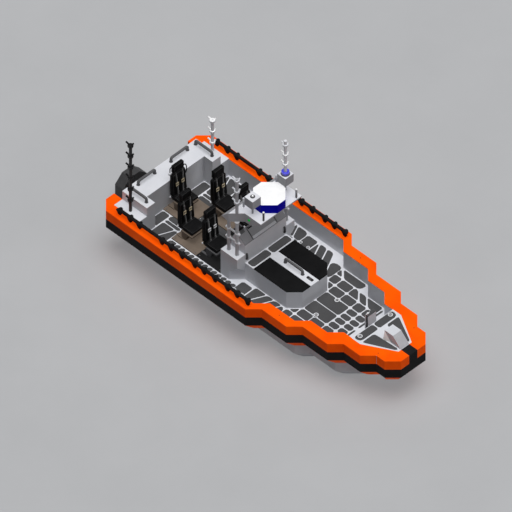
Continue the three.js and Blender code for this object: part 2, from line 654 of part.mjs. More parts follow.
const arch = (half, top, c) => [
  [-half, bucket.foot], [half, bucket.foot], [half, top - c], [half - c, top], [-half + c, top], [-half, top - c],
];
const bucketOuter = section(arch(bucket.half, bucket.top, bucket.chamfer), bucket.x[0], bucket.x[1]);
const bucketInner = section(
  arch(bucket.half - bucket.wall, bucket.top - bucket.wall, bucket.chamfer - 0.06).map(([y, z]) => [y, z]),
  bucket.x[0] - 0.1,
  bucket.x[1] + 0.1,
);
const bucketFloor = box(-3.1, -1.8, -1.6, 1.6, bucket.foot - 1, bucket.foot + 0.001);
const arms = [1, -1].map((side) => {
  const [near, far] = [(bucket.half - bucket.wall) * side, bucket.half * side].sort((a, b) => a - b);
  return profile([
    [bucket.pivotX + 0.25, -4.25], [bucket.pivotX + 0.25, -3.75], [-2, -3.1], [-2.2, -3.1], [-2.2, -4.3], [-2, -4.3],
  ], near, far);
});
const bucketFront = section([
  [-bucket.half, bucket.frontFoot], [bucket.half, bucket.frontFoot],
  ...arch(bucket.half, bucket.top, bucket.chamfer).slice(2),
], bucket.x[1] - bucket.wall, bucket.x[1]);
piece('jet_bucket', join(cut(bucketOuter, bucketInner, bucketFloor), bucketFront, ...arms), jetGrey);

export default root;
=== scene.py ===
# Inshore rescue boat: the looks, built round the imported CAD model.
import math

import bmesh
import bpy
from mathutils import Matrix, Vector
from mathutils.bvhtree import BVHTree


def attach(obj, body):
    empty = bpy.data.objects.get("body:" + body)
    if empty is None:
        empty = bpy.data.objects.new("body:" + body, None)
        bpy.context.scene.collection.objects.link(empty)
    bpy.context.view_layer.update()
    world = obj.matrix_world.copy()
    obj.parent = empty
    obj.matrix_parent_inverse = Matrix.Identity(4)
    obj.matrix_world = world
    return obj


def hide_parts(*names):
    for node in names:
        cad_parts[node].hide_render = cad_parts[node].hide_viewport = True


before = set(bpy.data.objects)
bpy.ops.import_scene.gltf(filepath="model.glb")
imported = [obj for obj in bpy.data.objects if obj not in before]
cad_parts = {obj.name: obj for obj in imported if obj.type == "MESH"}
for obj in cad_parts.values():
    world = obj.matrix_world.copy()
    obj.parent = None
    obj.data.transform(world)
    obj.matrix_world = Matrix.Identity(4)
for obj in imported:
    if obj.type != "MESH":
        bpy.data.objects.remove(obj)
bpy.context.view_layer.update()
print("frame loaded")

block = 0.25  # metres in one block of the boat's pitch
waterLevel = -5.0  # blocks, measured down from the collar top
soleTop = -2.0  # blocks, the cockpit's floor
boatBody = "boat"
upward = (0, 0, 1)
scene = bpy.context.scene


def place(x, y, z):
    # metres in the boat's frame from blocks
    return Vector((x * block, y * block, (z - waterLevel) * block))


def turns(count, start=0.0):
    # evenly spaced angles round a circle
    return [2 * math.pi * k / count + start for k in range(count)]


def linear(hexColor):
    # a colour from its sRGB hex value
    values = [int(hexColor[i:i + 2], 16) / 255 for i in (0, 2, 4)]
    return (*[v / 12.92 if v <= 0.04045 else ((v + 0.055) / 1.055) ** 2.4 for v in values], 1.0)


def keepPiece(name, mesh, finish, slotName, body=boatBody, smooth=False, bevel=0.0, segments=2):
    obj = bpy.data.objects.new(name, mesh)
    scene.collection.objects.link(obj)
    mesh.materials.append(materials[finish])
    for face in mesh.polygons:
        face.use_smooth = smooth or bevel > 0
    if bevel > 0:
        rounding = obj.modifiers.new("rounding", "BEVEL")
        rounding.width = bevel
        rounding.segments = segments
        rounding.limit_method = "ANGLE"
        rounding.angle_limit = math.radians(32)
        rounding.harden_normals = True
    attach(obj, body)
    return obj


def meshFrom(name, build):
    bm = bmesh.new()
    build(bm)
    bmesh.ops.recalc_face_normals(bm, faces=bm.faces)
    mesh = bpy.data.meshes.new(name)
    bm.to_mesh(mesh)
    bm.free()
    return mesh


def fit(name, build, finish, slotName, **more):
    return keepPiece(name, meshFrom(name, build), finish, slotName, **more)


def skinRings(bm, rings, closed=False):
    # faces from each ring of corners to the next, with ends unless the row closes on itself
    following = rings[1:] + rings[:1] if closed else rings[1:]
    for first, second in zip(rings, following):
        for k in range(len(first)):
            n = (k + 1) % len(first)
            bm.faces.new((first[k], first[n], second[n], second[k]))
    if not closed:
        bm.faces.new(list(reversed(rings[0])))
        bm.faces.new(rings[-1])


def addPrism(bm, points, low, high):
    skinRings(bm, [[bm.verts.new(place(x, y, z)) for x, y in points] for z in (low, high)])


def slab(x0, x1, y0, y1):
    return [(x0, y0), (x1, y0), (x1, y1), (x0, y1)]


def addBox(bm, low, high):
    addPrism(bm, slab(low[0], high[0], low[1], high[1]), low[2], high[2])


def addLathe(bm, centre, axis, outline, sides=24):
    # outline is (distance along the axis, radius) in metres, and a radius of 0 makes a single point
    axis = Vector(axis).normalized()
    side = axis.orthogonal().normalized()
    across = axis.cross(side)
    rings = []
    for along, radius in outline:
        middle = centre + axis * along
        rings.append([
            bm.verts.new(middle + (side * math.cos(a) + across * math.sin(a)) * radius)
            for a in (turns(sides) if radius > 0 else [0])
        ])
    for first, second in zip(rings, rings[1:]):
        for k in range(sides):
            n = (k + 1) % sides
            corners = [ring[i % len(ring)] for ring, i in ((first, k), (second, k), (second, n), (first, n))]
            bm.faces.new(list(dict.fromkeys(corners)))


def addTube(bm, points, radius, sides=10, closed=False):
    count = len(points)
    rings = []
    normal = None
    for i, point in enumerate(points):
        ahead = points[(i + 1) % count] if closed or i < count - 1 else point
        behind = points[i - 1] if closed or i > 0 else point
        tangent = (ahead - behind).normalized()
        if normal is None:
            normal = tangent.orthogonal().normalized()
        normal = (normal - tangent * normal.dot(tangent)).normalized()
        across = tangent.cross(normal)
        rings.append([
            bm.verts.new(point + (normal * math.cos(a) + across * math.sin(a)) * radius) for a in turns(sides)
        ])
    skinRings(bm, rings, closed)


def cutCorners(points, size):
    # every corner taken off at a slant
    result = []
    count = len(points)
    for i in range(count):
        here = Vector(points[i])
        for other in (Vector(points[i - 1]), Vector(points[(i + 1) % count])):
            edge = other - here
            step = min(size, edge.length * 0.45)
            result.append(tuple(here + edge.normalized() * step))
    return result


def spreadOut(points, distance):
    # an outline grown on every side, its corners kept
    corners = [Vector(point) for point in points]
    count = len(corners)
    area = sum(corners[i - 1].cross(corners[i]) for i in range(count))
    turn = 1 if area > 0 else -1
    grown = []
    for i in range(count):
        before = (corners[i] - corners[i - 1]).normalized()
        after = (corners[(i + 1) % count] - corners[i]).normalized()
        outBefore = Vector((before.y, -before.x)) * turn
        outAfter = Vector((after.y, -after.x)) * turn
        push = (outBefore + outAfter) * (distance / max(0.5, 1 + outBefore.dot(outAfter)))
        grown.append(tuple(corners[i] + push))
    return grown


def addScrew(bm, centre, axis, radius):
    addLathe(bm, centre, axis, [
        (-0.001, 0), (-0.001, radius), (radius * 0.35, radius), (radius * 0.6, radius * 0.7),
        (radius * 0.68, 0),
    ], 12)


def addNode(tree, kind, settings=None, links=None):
    node = tree.nodes.new("ShaderNode" + kind)
    for key, value in (settings or {}).items():
        if isinstance(key, int) or key in node.inputs:
            node.inputs[key].default_value = value
        else:
            setattr(node, key, value)
    for key, source in (links or {}).items():
        tree.links.new(source, node.inputs[key])
    return node


def makeFinish(name, look):
    # colour drifts between two tones, grain sets the bump, and edges rub paler or darker, as wear and as a
    # painted edge highlight
    material = bpy.data.materials.new(name)
    material.use_nodes = True
    tree = material.node_tree
    tree.nodes.clear()
    output = addNode(tree, "OutputMaterial")
    shader = addNode(tree, "BsdfPrincipled", {
        "Metallic": look.get("metallic", 0.0),
        "IOR": look.get("ior", 1.5),  # metals keep the default
        "Coat Weight": look.get("coat", 0.0),
        "Coat Roughness": look.get("coatRoughness", 0.1),
        "Sheen Weight": look.get("sheen", 0.0),
        "Sheen Roughness": 0.5,
        "Specular IOR Level": look.get("specular", 0.3),
    })
    tree.links.new(shader.outputs[0], output.inputs["Surface"])
    driftHue, driftMm = look["drift"]
    grainMm, bump, bumpMm = look["grain"]
    coords = addNode(tree, "TexCoord").outputs["Object"]
    stain = addNode(tree, "TexNoise", {
        "Scale": 1000 / driftMm, "Detail": 4.0, "Roughness": 0.6,
    }, {"Vector": coords})
    stainRange = addNode(tree, "MapRange", {"From Min": 0.35, "From Max": 0.68}, {
        "Value": stain.outputs["Fac"],
    })
    color = addNode(tree, "Mix", {
        "data_type": "RGBA", 6: linear(look["hue"]), 7: linear(driftHue),
    }, {0: stainRange.outputs[0]}).outputs[2]

    scale = 1000 / grainMm
    pattern = look.get("pattern", "noise")
    if pattern == "noise":
        grain = addNode(tree, "TexNoise", {"Scale": scale, "Detail": 3.0, "Roughness": 0.55}, {
            "Vector": coords,
        }).outputs["Fac"]
    elif pattern == "weave":
        # a wave repeats every 314 mm at a scale of 1
        warp, weft = [addNode(tree, "TexWave", {
            "wave_type": "BANDS", "bands_direction": way, "Scale": 314 / grainMm,
        }, {"Vector": coords}) for way in "XZ"]
        grain = addNode(tree, "Math", {"operation": "MULTIPLY"}, {
            0: warp.outputs["Fac"], 1: weft.outputs["Fac"],
        }).outputs[0]
    else:
        grain = addNode(tree, "TexVoronoi", {
            "feature": "F1" if pattern == "grit" else "DISTANCE_TO_EDGE", "Scale": scale,
        }, {"Vector": coords}).outputs["Distance"]

    layers = []  # the share and the hue of each tone that lies over the first
    # a second tone above a level of the object's height; on the roof and lamp boxes the darker tone below it
    # is painted shade on their sides and undersides
    if "upper" in look:
        hue, level = look["upper"]
        rise = addNode(tree, "SeparateXYZ", links={0: coords}).outputs["Z"]
        above = addNode(tree, "Math", {"operation": "GREATER_THAN", 1: level}, {0: rise})
        layers.append((above.outputs[0], hue))
    if "grainTone" in look:
        hue, share = look["grainTone"]
        speck = addNode(tree, "MapRange", {"From Max": 0.6, "To Max": share}, {"Value": grain})
        layers.append((speck.outputs[0], hue))
    # worn edges in a paler tone: wear, and partly a painted highlight along every edge
    if "rub" in look:
        hue, width, share = look["rub"]
        edge = addNode(tree, "Bevel", {"samples": 4, "Radius": width / 1000})
        flat = addNode(tree, "NewGeometry").outputs["Normal"]
        agree = addNode(tree, "VectorMath", {"operation": "DOT_PRODUCT"}, {
            0: edge.outputs[0], 1: flat,
        })
        wearAndHighlightMask = addNode(tree, "MapRange", {
            "From Min": 0.995, "From Max": 0.86, "To Max": share,
        }, {"Value": agree.outputs["Value"]})
        layers.append((wearAndHighlightMask.outputs[0], hue))
    for share, hue in layers:
        color = addNode(tree, "Mix", {"data_type": "RGBA", 7: linear(hue)}, {
            0: share, 6: color,
        }).outputs[2]
    tree.links.new(color, shader.inputs["Base Color"])

    roughness, spread = look["roughness"], 0.06
    gloss = addNode(tree, "MapRange", {
        "From Min": 0.3, "From Max": 0.7, "To Min": roughness - spread, "To Max": roughness + spread,
    }, {"Value": stain.outputs["Fac"]})
    tree.links.new(gloss.outputs[0], shader.inputs["Roughness"])
    relief = addNode(tree, "Bump", {"Strength": bump, "Distance": bumpMm / 1000}, {"Height": grain})
    tree.links.new(relief.outputs[0], shader.inputs["Normal"])
    return material


# drift is a second tone and the size of its patches in mm; grain is its size in mm, strength and depth in mm
# rub is the tone of worn edges, both wear and a painted edge highlight, their width in mm and how much of it
# shows
finishes = {
    # two-pack marine paint, sprayed: clean pale grey with a soft even gloss
    "sprayedMarinePaint": dict(hue="d5d6db", drift=("c9cbd1", 900), grain=(14, 0.08, 0.6), roughness=0.42,
                               rub=("eeeff2", 7, 0.5)),
    # the same paint on aluminium plate below the collar, rolled and a little scuffed
    "rolledHullPaint": dict(hue="b3b4b8", drift=("a4a5aa", 420), grain=(22, 0.14, 0.8), roughness=0.5,
                            rub=("cacbce", 8, 0.3)),
    # polyurethane skin over closed-cell foam, sprayed: a dense matte orange with a leathery surface
    "coatedFoamSkin": dict(hue="ff5d00", drift=("f04e00", 650), grain=(16, 0.16, 1.2), pattern="cells",
                           roughness=0.6, specular=0.04, rub=("ff7424", 12, 0.3)),
    # extruded EPDM rubber: nearly black, matte, chalky where it rubs, its paler edges partly a painted
    # highlight
    "extrudedRubber": dict(hue="151516", drift=("1e1e1f", 300), grain=(9, 0.2, 0.5), roughness=0.75,
                           ior=1.48, specular=0.1, rub=("2a2a2b", 9, 0.5)),
    # non-skid tread sheet with a moulded grit, drawn at 14 mm because the real 2 mm grit is too fine to show
    "gritTread": dict(hue="444445", drift=("3d3d3f", 380), grain=(14, 0.55, 1.4), pattern="grit",
                      roughness=0.86, ior=1.52, specular=0.15, grainTone=("515152", 0.55)),
    # moulded polyethylene hatch panels: black, and so little gloss that they stay darker than the pads
    "mouldedBlackPanel": dict(hue="121213", drift=("171718", 260), grain=(7, 0.18, 0.5), pattern="grit",
                              roughness=0.6, ior=1.51, specular=0.05, rub=("2c2c2d", 6, 0.45)),
    # powder-coated steel tube: dark grey with a faint orange peel
    "powderCoatedTube": dict(hue="4a4a4b", drift=("404042", 120), grain=(5, 0.15, 0.3), roughness=0.45,
                             ior=1.52, rub=("7a7a7c", 4, 0.4)),
    # bent grab rails in the same powder coat, worn paler by hands
    "wornGrabTube": dict(hue="58585a", drift=("505052", 120), grain=(5, 0.12, 0.3), roughness=0.5, ior=1.52,
                         rub=("8a8a8c", 4, 0.4)),
    # satin grey paint on the ladder frames' aluminium tube: even, a shade under the deck's
    "ladderPaint": dict(hue="aeafb3", drift=("a4a5a9", 200), grain=(8, 0.06, 0.3), roughness=0.45,
                        rub=("c4c5c9", 4, 0.3)),
    # marine paint on the roof: a light top above 2.74 m, and the fascia and underside in a darker grey that
    # is painted shade
    "roofPaintWithPaintedShade": dict(hue="9c9da1", drift=("94959a", 500), grain=(14, 0.06, 0.4), roughness=0.5,
                      specular=0.2, upper=("d5d6db", 2.742)),
    # the lamp boxes carry the same two tones, the light one on their lids above 3.24 m and the darker one on
    # their sides as painted shade
    "lampBoxPaintWithPaintedShade": dict(hue="98999d", drift=("88898d", 300), grain=(14, 0.06, 0.4), roughness=0.5,
                         specular=0.2, upper=("d5d6db", 3.243)),
    # gloss paint on small aluminium fittings: nearly white
    "paintedWhiteTube": dict(hue="e6e7ea", drift=("d8d9dd", 200), grain=(8, 0.06, 0.3), roughness=0.32,
                             rub=("f6f6f7", 4, 0.4)),
    # gelcoat over glass fibre: the deep blue side of the radar shell, an even colour with few highlights
    "blueGelcoat": dict(hue="0000a4", drift=("00009a", 240), grain=(30, 0.03, 0.4), roughness=0.4, ior=1.55,
                        specular=0.02, rub=("0808b4", 6, 0.3)),
    # the same gelcoat in white, polished: the brightest thing on the boat
    "whiteGelcoat": dict(hue="fafafa", drift=("f0f0f1", 240), grain=(30, 0.03, 0.4), roughness=0.24,
                         ior=1.55, coat=0.4, rub=("ffffff", 5, 0.3)),
    # moulded polycarbonate lens over the beacon: bright blue with a wet gloss
    "blueLens": dict(hue="5a5ae6", drift=("4a4ad8", 60), grain=(12, 0.25, 0.8), pattern="weave",
                     roughness=0.14, ior=1.58, coat=0.6, rub=("8c8cf6", 4, 0.5)),
    # small polycarbonate lenses of the side lights: one clear green and one clear red spot
    "greenLens": dict(hue="00c43c", drift=("00b032", 30), grain=(6, 0.1, 0.3), roughness=0.15, ior=1.58,
                      coat=0.6),
    "redLens": dict(hue="d01818", drift=("bc1010", 30), grain=(6, 0.1, 0.3), roughness=0.15, ior=1.58,
                    coat=0.6),
    # pultruded glass-fibre sleeves, satin and faintly lined: black, pale, and two greys for the roof's tubes
    "blackSleeve": dict(hue="1b1b1c", drift=("242425", 90), grain=(6, 0.1, 0.3), roughness=0.4, ior=1.55,
                        rub=("4a4a4c", 3, 0.4)),
    "paleSleeve": dict(hue="d8d9dd", drift=("cbccd1", 90), grain=(6, 0.1, 0.3), roughness=0.38, ior=1.55,
                       rub=("f0f0f2", 3, 0.4)),
    "roofSleeve": dict(hue="7c7d80", drift=("747578", 90), grain=(6, 0.1, 0.3), roughness=0.45, ior=1.55,
                       rub=("8a8b8e", 3, 0.3)),
    "greySleeve": dict(hue="a2a3a7", drift=("999a9e", 90), grain=(6, 0.1, 0.3), roughness=0.45, ior=1.55,
                       rub=("b4b5b9", 3, 0.3)),
    # marine vinyl, embossed with a leather grain: soft black that catches light along its folds
    "embossedVinyl": dict(hue="101011", drift=("141415", 160), grain=(7, 0.28, 0.7), pattern="cells",
                          roughness=0.5, ior=1.53, specular=0.07),
    # plain piping on the seat edges, the same vinyl rolled tight: a thin paler line
    "pipedVinyl": dict(hue="262627", drift=("2c2c2d", 50), grain=(5, 0.1, 0.2), roughness=0.5, ior=1.53),
    # nylon webbing, woven at 2 mm and drawn at 9 mm so that the weave shows: dull, with a slight sheen
    "wovenWebbing": dict(hue="202021", drift=("1b1b1c", 60), grain=(9, 0.5, 0.6), pattern="weave",
                         roughness=0.8, ior=1.53, sheen=0.25),
    # the same webbing bleached by the sun, so that the straps of the front seats read as grey lines
    "fadedWebbing": dict(hue="444445", drift=("3c3c3d", 60), grain=(9, 0.5, 0.6), pattern="weave",
                         roughness=0.8, ior=1.53, sheen=0.25),
    # moulded nylon buckle: warm ivory, satin
    "mouldedIvory": dict(hue="b8ab8e", drift=("ab9e82", 40), grain=(8, 0.08, 0.2), roughness=0.4, ior=1.53,
                         rub=("d8ccb0", 3, 0.4)),
    # moulded polypropylene seat bases with a texture: dry and even, in brown, and in black with a grey top
    "texturedBrownBase": dict(hue="716458", drift=("675b50", 260), grain=(11, 0.3, 0.8), pattern="grit",
                              roughness=0.74, ior=1.49, rub=("8b7d70", 6, 0.45)),
    "texturedBlackBase": dict(hue="181819", drift=("202021", 260), grain=(11, 0.3, 0.8), pattern="grit",
                              roughness=0.66, ior=1.49, specular=0.12, upper=("58585a", 0.786),
                              rub=("3c3c3e", 6, 0.45)),
    # anodised aluminium bolts and washers: a dull metal grey
    "anodisedRail": dict(hue="6e6f72", drift=("626366", 80), grain=(4, 0.08, 0.2), roughness=0.36,
                         metallic=0.7, rub=("9a9b9e", 3, 0.4)),
    # sand-cast and epoxy-coated jet parts: dark grey and slightly rough, the nozzle nearly black
    "coatedCasting": dict(hue="3e3e3f", drift=("353536", 140), grain=(12, 0.35, 0.9), roughness=0.58,
                          ior=1.55, rub=("5e5e60", 6, 0.5)),
    "darkCasting": dict(hue="1c1c1d", drift=("242425", 120), grain=(10, 0.3, 0.8), roughness=0.5, ior=1.55,
                        rub=("48484a", 5, 0.5)),
    # enamelled cast iron of the engine block: plain machine grey
    "engineCasting": dict(hue="5b5f63", drift=("4c5054", 140), grain=(12, 0.35, 0.9), roughness=0.6,
                          ior=1.52, rub=("7c8084", 6, 0.5)),
    # tinted acrylic screen: smoky grey with a hard clear gloss
    "smokedAcrylic": dict(hue="7c7c7f", drift=("757578", 400), grain=(40, 0.02, 0.3), roughness=0.16,
                          ior=1.49, coat=0.3, coatRoughness=0.08),
    # float glass over the instruments: black with a clear reflection
    "instrumentGlass": dict(hue="0d0e10", drift=("101114", 90), grain=(20, 0.02, 0.2), roughness=0.08,
                            ior=1.52, coat=0.8, coatRoughness=0.04),
    # moulded polyurethane grip of the wheel: matte black, finely pebbled
    "mouldedGrip": dict(hue="161617", drift=("1f1f20", 60), grain=(5, 0.3, 0.4), pattern="grit",
                        roughness=0.6, rub=("3a3a3c", 3, 0.4)),
    # sealed and rolled studio floor: pale and plain
    "studioFloor": dict(hue="acadaf", drift=("a9aaac", 2600), grain=(300, 0.02, 0.5), roughness=0.85),
}
materials = {name: makeFinish(name, look) for name, look in finishes.items()}
print("materials made:", len(materials))

# the view is square on one corner and has no perspective
cameraLook = dict(target=(14.054, -1.243, -0.012), azimuth=45, elevation=45, distance=30, width=11.04,
                  reach=200)
cameraData = bpy.data.cameras.new("camera")
cameraData.type = "ORTHO"
cameraData.ortho_scale = cameraLook["width"]
cameraData.clip_end = cameraLook["reach"]
camera = bpy.data.objects.new("camera", cameraData)
scene.collection.objects.link(camera)
scene.camera = camera
azimuth, elevation = math.radians(cameraLook["azimuth"]), math.radians(cameraLook["elevation"])
back = Vector((
    math.sin(azimuth) * math.cos(elevation), -math.cos(azimuth) * math.cos(elevation), math.sin(elevation),
))
camera.location = place(*cameraLook["target"]) + back * cameraLook["distance"]
camera.rotation_mode = "QUATERNION"
camera.rotation_quaternion = (-back).to_track_quat("-Z", "Y")

# suns with wide discs light the deck evenly, and the fill one casts no shadow
lightLook = dict(
    sky="f1f4fa", skyPower=0.02, floorHalf=60,
    softTopLight=dict(power=1.8, size=54, way=(-0.08, 0.04, -1.0), shadow=True),
    fillTopLight=dict(power=1.6, size=24, way=(-0.08, 0.06, -1.0), shadow=False),
    softFrontLight=dict(power=0.42, size=30, way=(-1.0, -0.3, -0.3), shadow=True),
)
world = bpy.data.worlds.new("studio")
scene.world = world
world.use_nodes = True
sky = world.node_tree.nodes["Background"]
sky.inputs["Color"].default_value = linear(lightLook["sky"])
sky.inputs["Strength"].default_value = lightLook["skyPower"]
for lightName in ("softTopLight", "fillTopLight", "softFrontLight"):
    look = lightLook[lightName]
    lightData = bpy.data.lights.new(lightName, "SUN")
    lightData.energy = look["power"]
    lightData.angle = math.radians(look["size"])
    lightData.use_shadow = look["shadow"]
    light = bpy.data.objects.new(lightName, lightData)
    scene.collection.objects.link(light)
    light.rotation_mode = "QUATERNION"
    light.rotation_quaternion = Vector(look["way"]).to_track_quat("-Z", "Y")
scene.view_settings.view_transform = "Standard"


def buildFloor(bm):
    half = lightLook["floorHalf"]
    bm.faces.new([bm.verts.new((x, y, 0)) for x, y in slab(-half, half, -half, half)])


floorMesh = meshFrom("studioFloor", buildFloor)
floorMesh.materials.append(materials["studioFloor"])
floor = bpy.data.objects.new("studioFloor", floorMesh)
scene.collection.objects.link(floor)
print("stage set")

nodeFinishes = {
    "rolledHullPaint": "hull",
    "engineCasting": "engine",
    "sprayedMarinePaint": "cockpit_moulding bow_deck bow_post stern_box trunk console",
    "coatedFoamSkin": "collar_port collar_starboard",
    "extrudedRubber": "rubbing_band side_rail_port side_rail_starboard",
    "mouldedBlackPanel": "lid_port lid_starboard",
    "smokedAcrylic": "screen",
    "ladderPaint": "roof_frame_port roof_frame_starboard",
    "roofPaintWithPaintedShade": "roof",
    "lampBoxPaintWithPaintedShade": "lamp_mast_port lamp_mast_starboard",
    "blueGelcoat": "radar",
    "blueLens": "beacon",
    "blackSleeve": "aerial_starboard",
    "paleSleeve": "aerial_port aerial_beacon",
    "greySleeve": "aerial_roof",
    "wornGrabTube": "stern_rail_port stern_rail_starboard arm_rail_port arm_rail_starboard trunk_rail",
    "texturedBrownBase": "seat_base_aft seat_base_mid_port seat_base_mid_starboard",
    "texturedBlackBase": "seat_base_front_port seat_base_front_starboard",
    "embossedVinyl": "seat_aft seat_mid_port seat_mid_starboard seat_front_port seat_front_starboard",
    "mouldedGrip": "helm_wheel",
    "coatedCasting": "jet_duct jet_bucket",
    "darkCasting": "jet_nozzle",
}
for finishName, nodeNames in nodeFinishes.items():
    for nodeName in nodeNames.split():
        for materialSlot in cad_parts[nodeName].material_slots:
            materialSlot.material = materials[finishName]
print("CAD nodes finished")

# non-skid pads: outlines in blocks for one side, and the other side mirrors them
gripPads = dict(thickness=0.01, sunk=0.004, corner=0.155, edge=0.0015, spread=0.025, pitch=0.555)
soleSlabs = [
    (14.08, 15.25, 2.85, 5.12), (4.1, 5.8, 2.16, 2.44), (4.1, 5.86, 1.52, 2.04), (3.08, 3.92, 1.62, 3.4),
    (20.05, 21.36, 2.52, 3.4), (20.05, 21.36, 1.52, 2.38), (21.48, 22.78, 1.52, 2.38),
    (22.92, 23.9, 1.52, 2.38), (24.05, 24.88, 1.52, 2.38), (22.95, 23.88, 0.78, 1.38),
    (24.05, 24.88, 0.78, 1.38), (22.95, 23.88, 0.07, 0.62), (24.05, 24.88, 0.07, 0.62),
    (25.04, 25.19, 0.2, 3.16), (5.98, 12.8, -0.02, 0.49),
]
soleShapes = [
    [(15.42, 2.6), (16.62, 2.6), (15.5, 4.95), (15.42, 4.95)],
    [(16.8, 2.57), (17.52, 2.57), (16.32, 5.1), (15.62, 5.1)],
    [(17.68, 2.57), (18.46, 2.57), (17.15, 5.1), (16.5, 5.1)],
    [(18.62, 2.57), (18.82, 2.75), (18.97, 2.92), (18.97, 4.2), (18.78, 4.4), (18.15, 4.4), (17.85, 4.1)],
    [(13.29, 4.07), (13.95, 4.07), (13.95, 5.0), (13.7, 5.3), (12.73, 5.3)],
    [(12.72, 4.07), (13.15, 4.07), (12.58, 5.3), (12.42, 5.3)],
    [(12.36, 4.07), (12.6, 4.07), (12.3, 5.3), (12.045, 5.3)],
    [(4.1, 2.58), (5.42, 2.58), (4.25, 5.3), (4.1, 5.3)],
    [(5.56, 2.6), (5.85, 2.6), (5.85, 5.3), (4.4, 5.3)],
    [(6.11, 3.62), (6.8, 3.62), (6.38, 5.3), (5.69, 5.3)],
    [(20.02, 3.55), (21.72, 3.55), (21.98, 4.0), (21.9, 4.36), (19.22, 4.34)],
    [(19.05, 3.56), (19.7, 3.56), (19.05, 4.2)],
    [(19.1, 2.52), (19.9, 2.52), (19.9, 3.4), (19.05, 3.4)],
    [(19.26, 2.38), (19.9, 1.72), (19.9, 2.38)],
    [(21.48, 2.52), (22.68, 2.52), (21.85, 3.4), (21.48, 3.4)],
    [(22.95, 2.52), (23.7, 2.52), (22.86, 3.36), (22.14, 3.34)],
    [(23.97, 2.52), (24.88, 2.52), (24.88, 3.38), (23.08, 3.36)],
    [(20.05, 0.06), (22.78, 0.06), (22.78, 1.38), (21.66, 1.38), (21.42, 1.08), (21.18, 1.38), (20.05, 1.38)],
]


def slantedRow(start, count, low, high, width, offsets):
    # pads of one size, side by side along the boat
    shifts = [start + gripPads["pitch"] * k for k in range(count)]
    return [[(x, low), (x + width, low), (x + offsets[0], high), (x + offsets[1], high)] for x in shifts]


soleOutlines = [slab(*edges) for edges in soleSlabs] + soleShapes
soleOutlines += slantedRow(6.915, 10, 3.62, 5.3, 0.44, (0.02, -0.42))
soleOutlines += slantedRow(12.465, 3, 3.6, 3.98, 0.47, (0.37, -0.1))
bowOutlines = [
    [(27.08, 0.08), (27.8, 0.08), (27.8, 2.05), (27.6, 2.28), (27.08, 2.28)],
    [(28.0, 0.8), (28.8, 0.72), (30.75, 0.62), (30.75, 0.8), (28.12, 2.14), (28.0, 2.14)],
]
trunkOutlines = [slab(14.1, 14.86, 0.1, 2.36)]
for name, outlines, level in (
    ("soleGrip", soleOutlines, soleTop), ("bowGrip", bowOutlines, 0), ("trunkGrip", trunkOutlines, 0),
):
    def buildGrip(bm):
        for side in (1, -1):
            for outline in outlines:
                mirrored = [(x, y * side) for x, y in outline]
                points = cutCorners(spreadOut(mirrored, gripPads["spread"]), gripPads["corner"])
                addPrism(bm, points, level - gripPads["sunk"], level + gripPads["thickness"])
    fit(name, buildGrip, "gritTread", "black_rubber", bevel=gripPads["edge"], segments=1)
print("grip pads laid")

# deck latches: a ring with a bar across it, over a shallow dish; places in blocks, with a size
fittings = dict(ringRadius=0.19, ringTube=0.04, barTube=0.022, barShare=0.7, dish=0.25)
latchPlaces = [
    (21.42, 1.27, soleTop, 1), (27.35, 1.85, 0, 1), (14.22, 4.05, soleTop, 0.7), (15.12, 4.05, soleTop, 0.7),
]


def eachLatch():
    for x, y, z, size in latchPlaces:
        for side in (1, -1):
            yield place(x, y * side, z) + Vector((0, 0, gripPads["thickness"] * block)), size * block


def buildLatchRings(bm):
    for centre, size in eachLatch():
        radius = fittings["ringRadius"] * size
        middle = centre + Vector((0, 0, 0.01))
        ring = [middle + Vector((math.cos(a), math.sin(a), 0)) * radius for a in turns(24)]
        addTube(bm, ring, fittings["ringTube"] * size, 8, closed=True)
        middle = centre + Vector((0, 0, 0.012))
        bar = Vector((1, 1, 0)).normalized() * radius * fittings["barShare"]
        addTube(bm, [middle - bar, middle + bar], fittings["barTube"] * size, 6)


def buildLatchDishes(bm):
    for centre, size in eachLatch():
        dish = fittings["dish"] * size
        addLathe(bm, centre, upward, [
            (-0.006, 0), (-0.006, dish), (0.004, dish), (0.006, dish * 0.9), (0.003, dish * 0.6), (0.003, 0),
        ])


fit("latchRings", buildLatchRings, "paintedWhiteTube", "white_tube", smooth=True)
fit("latchDishes", buildLatchDishes, "gritTread", "black_rubber", smooth=True)
print("latches fitted")

# seats: stuffed pads with sewn seams, on a shell, with harness and buckles
# pipeStep and the forms are in blocks about a seat's own place, the other lengths in metres
seatLook = dict(voxel=0.011, pressure=4.0, settleFrames=20, cap=0.011, pipe=0.0045, pipeStep=0.12,
                pipeLift=0.0015, seamWidth=0.008, facing=0.4)
seatPlaces = {
    "aft": (4.46, 0), "mid_port": (7.38, 2), "mid_starboard": (7.38, -2),
    "front_port": (10.38, 2), "front_starboard": (10.38, -2),
}
seatForms = {
    "cushion": dict(
        side=[(-1.3, -0.72), (-1.05, -0.95), (0.33, -0.95), (0.53, -0.82), (0.54, -0.64), (0.45, -0.56),
              (-0.8, -0.56), (-1.25, -0.68)],
        half=0.87, corner=(0.1, 0), top=-0.56,
    ),
    "back": dict(
        side=[(-1.32, -0.6), (-0.88, -0.56), (-1.07, 1.92), (-1.32, 1.92)],
        half=0.855, corner=(0.2, 0.16), top=1.92,
    ),
    "headrest": dict(
        side=[(-1.41, 2.08), (-1.41, 2.78), (-1.34, 2.87), (-1.12, 2.87), (-1.04, 2.78), (-1.04, 2.08),
              (-1.1, 1.99), (-1.34, 1.99)],
        half=0.62, corner=(0.1, 0.1), top=2.87,
    ),
}


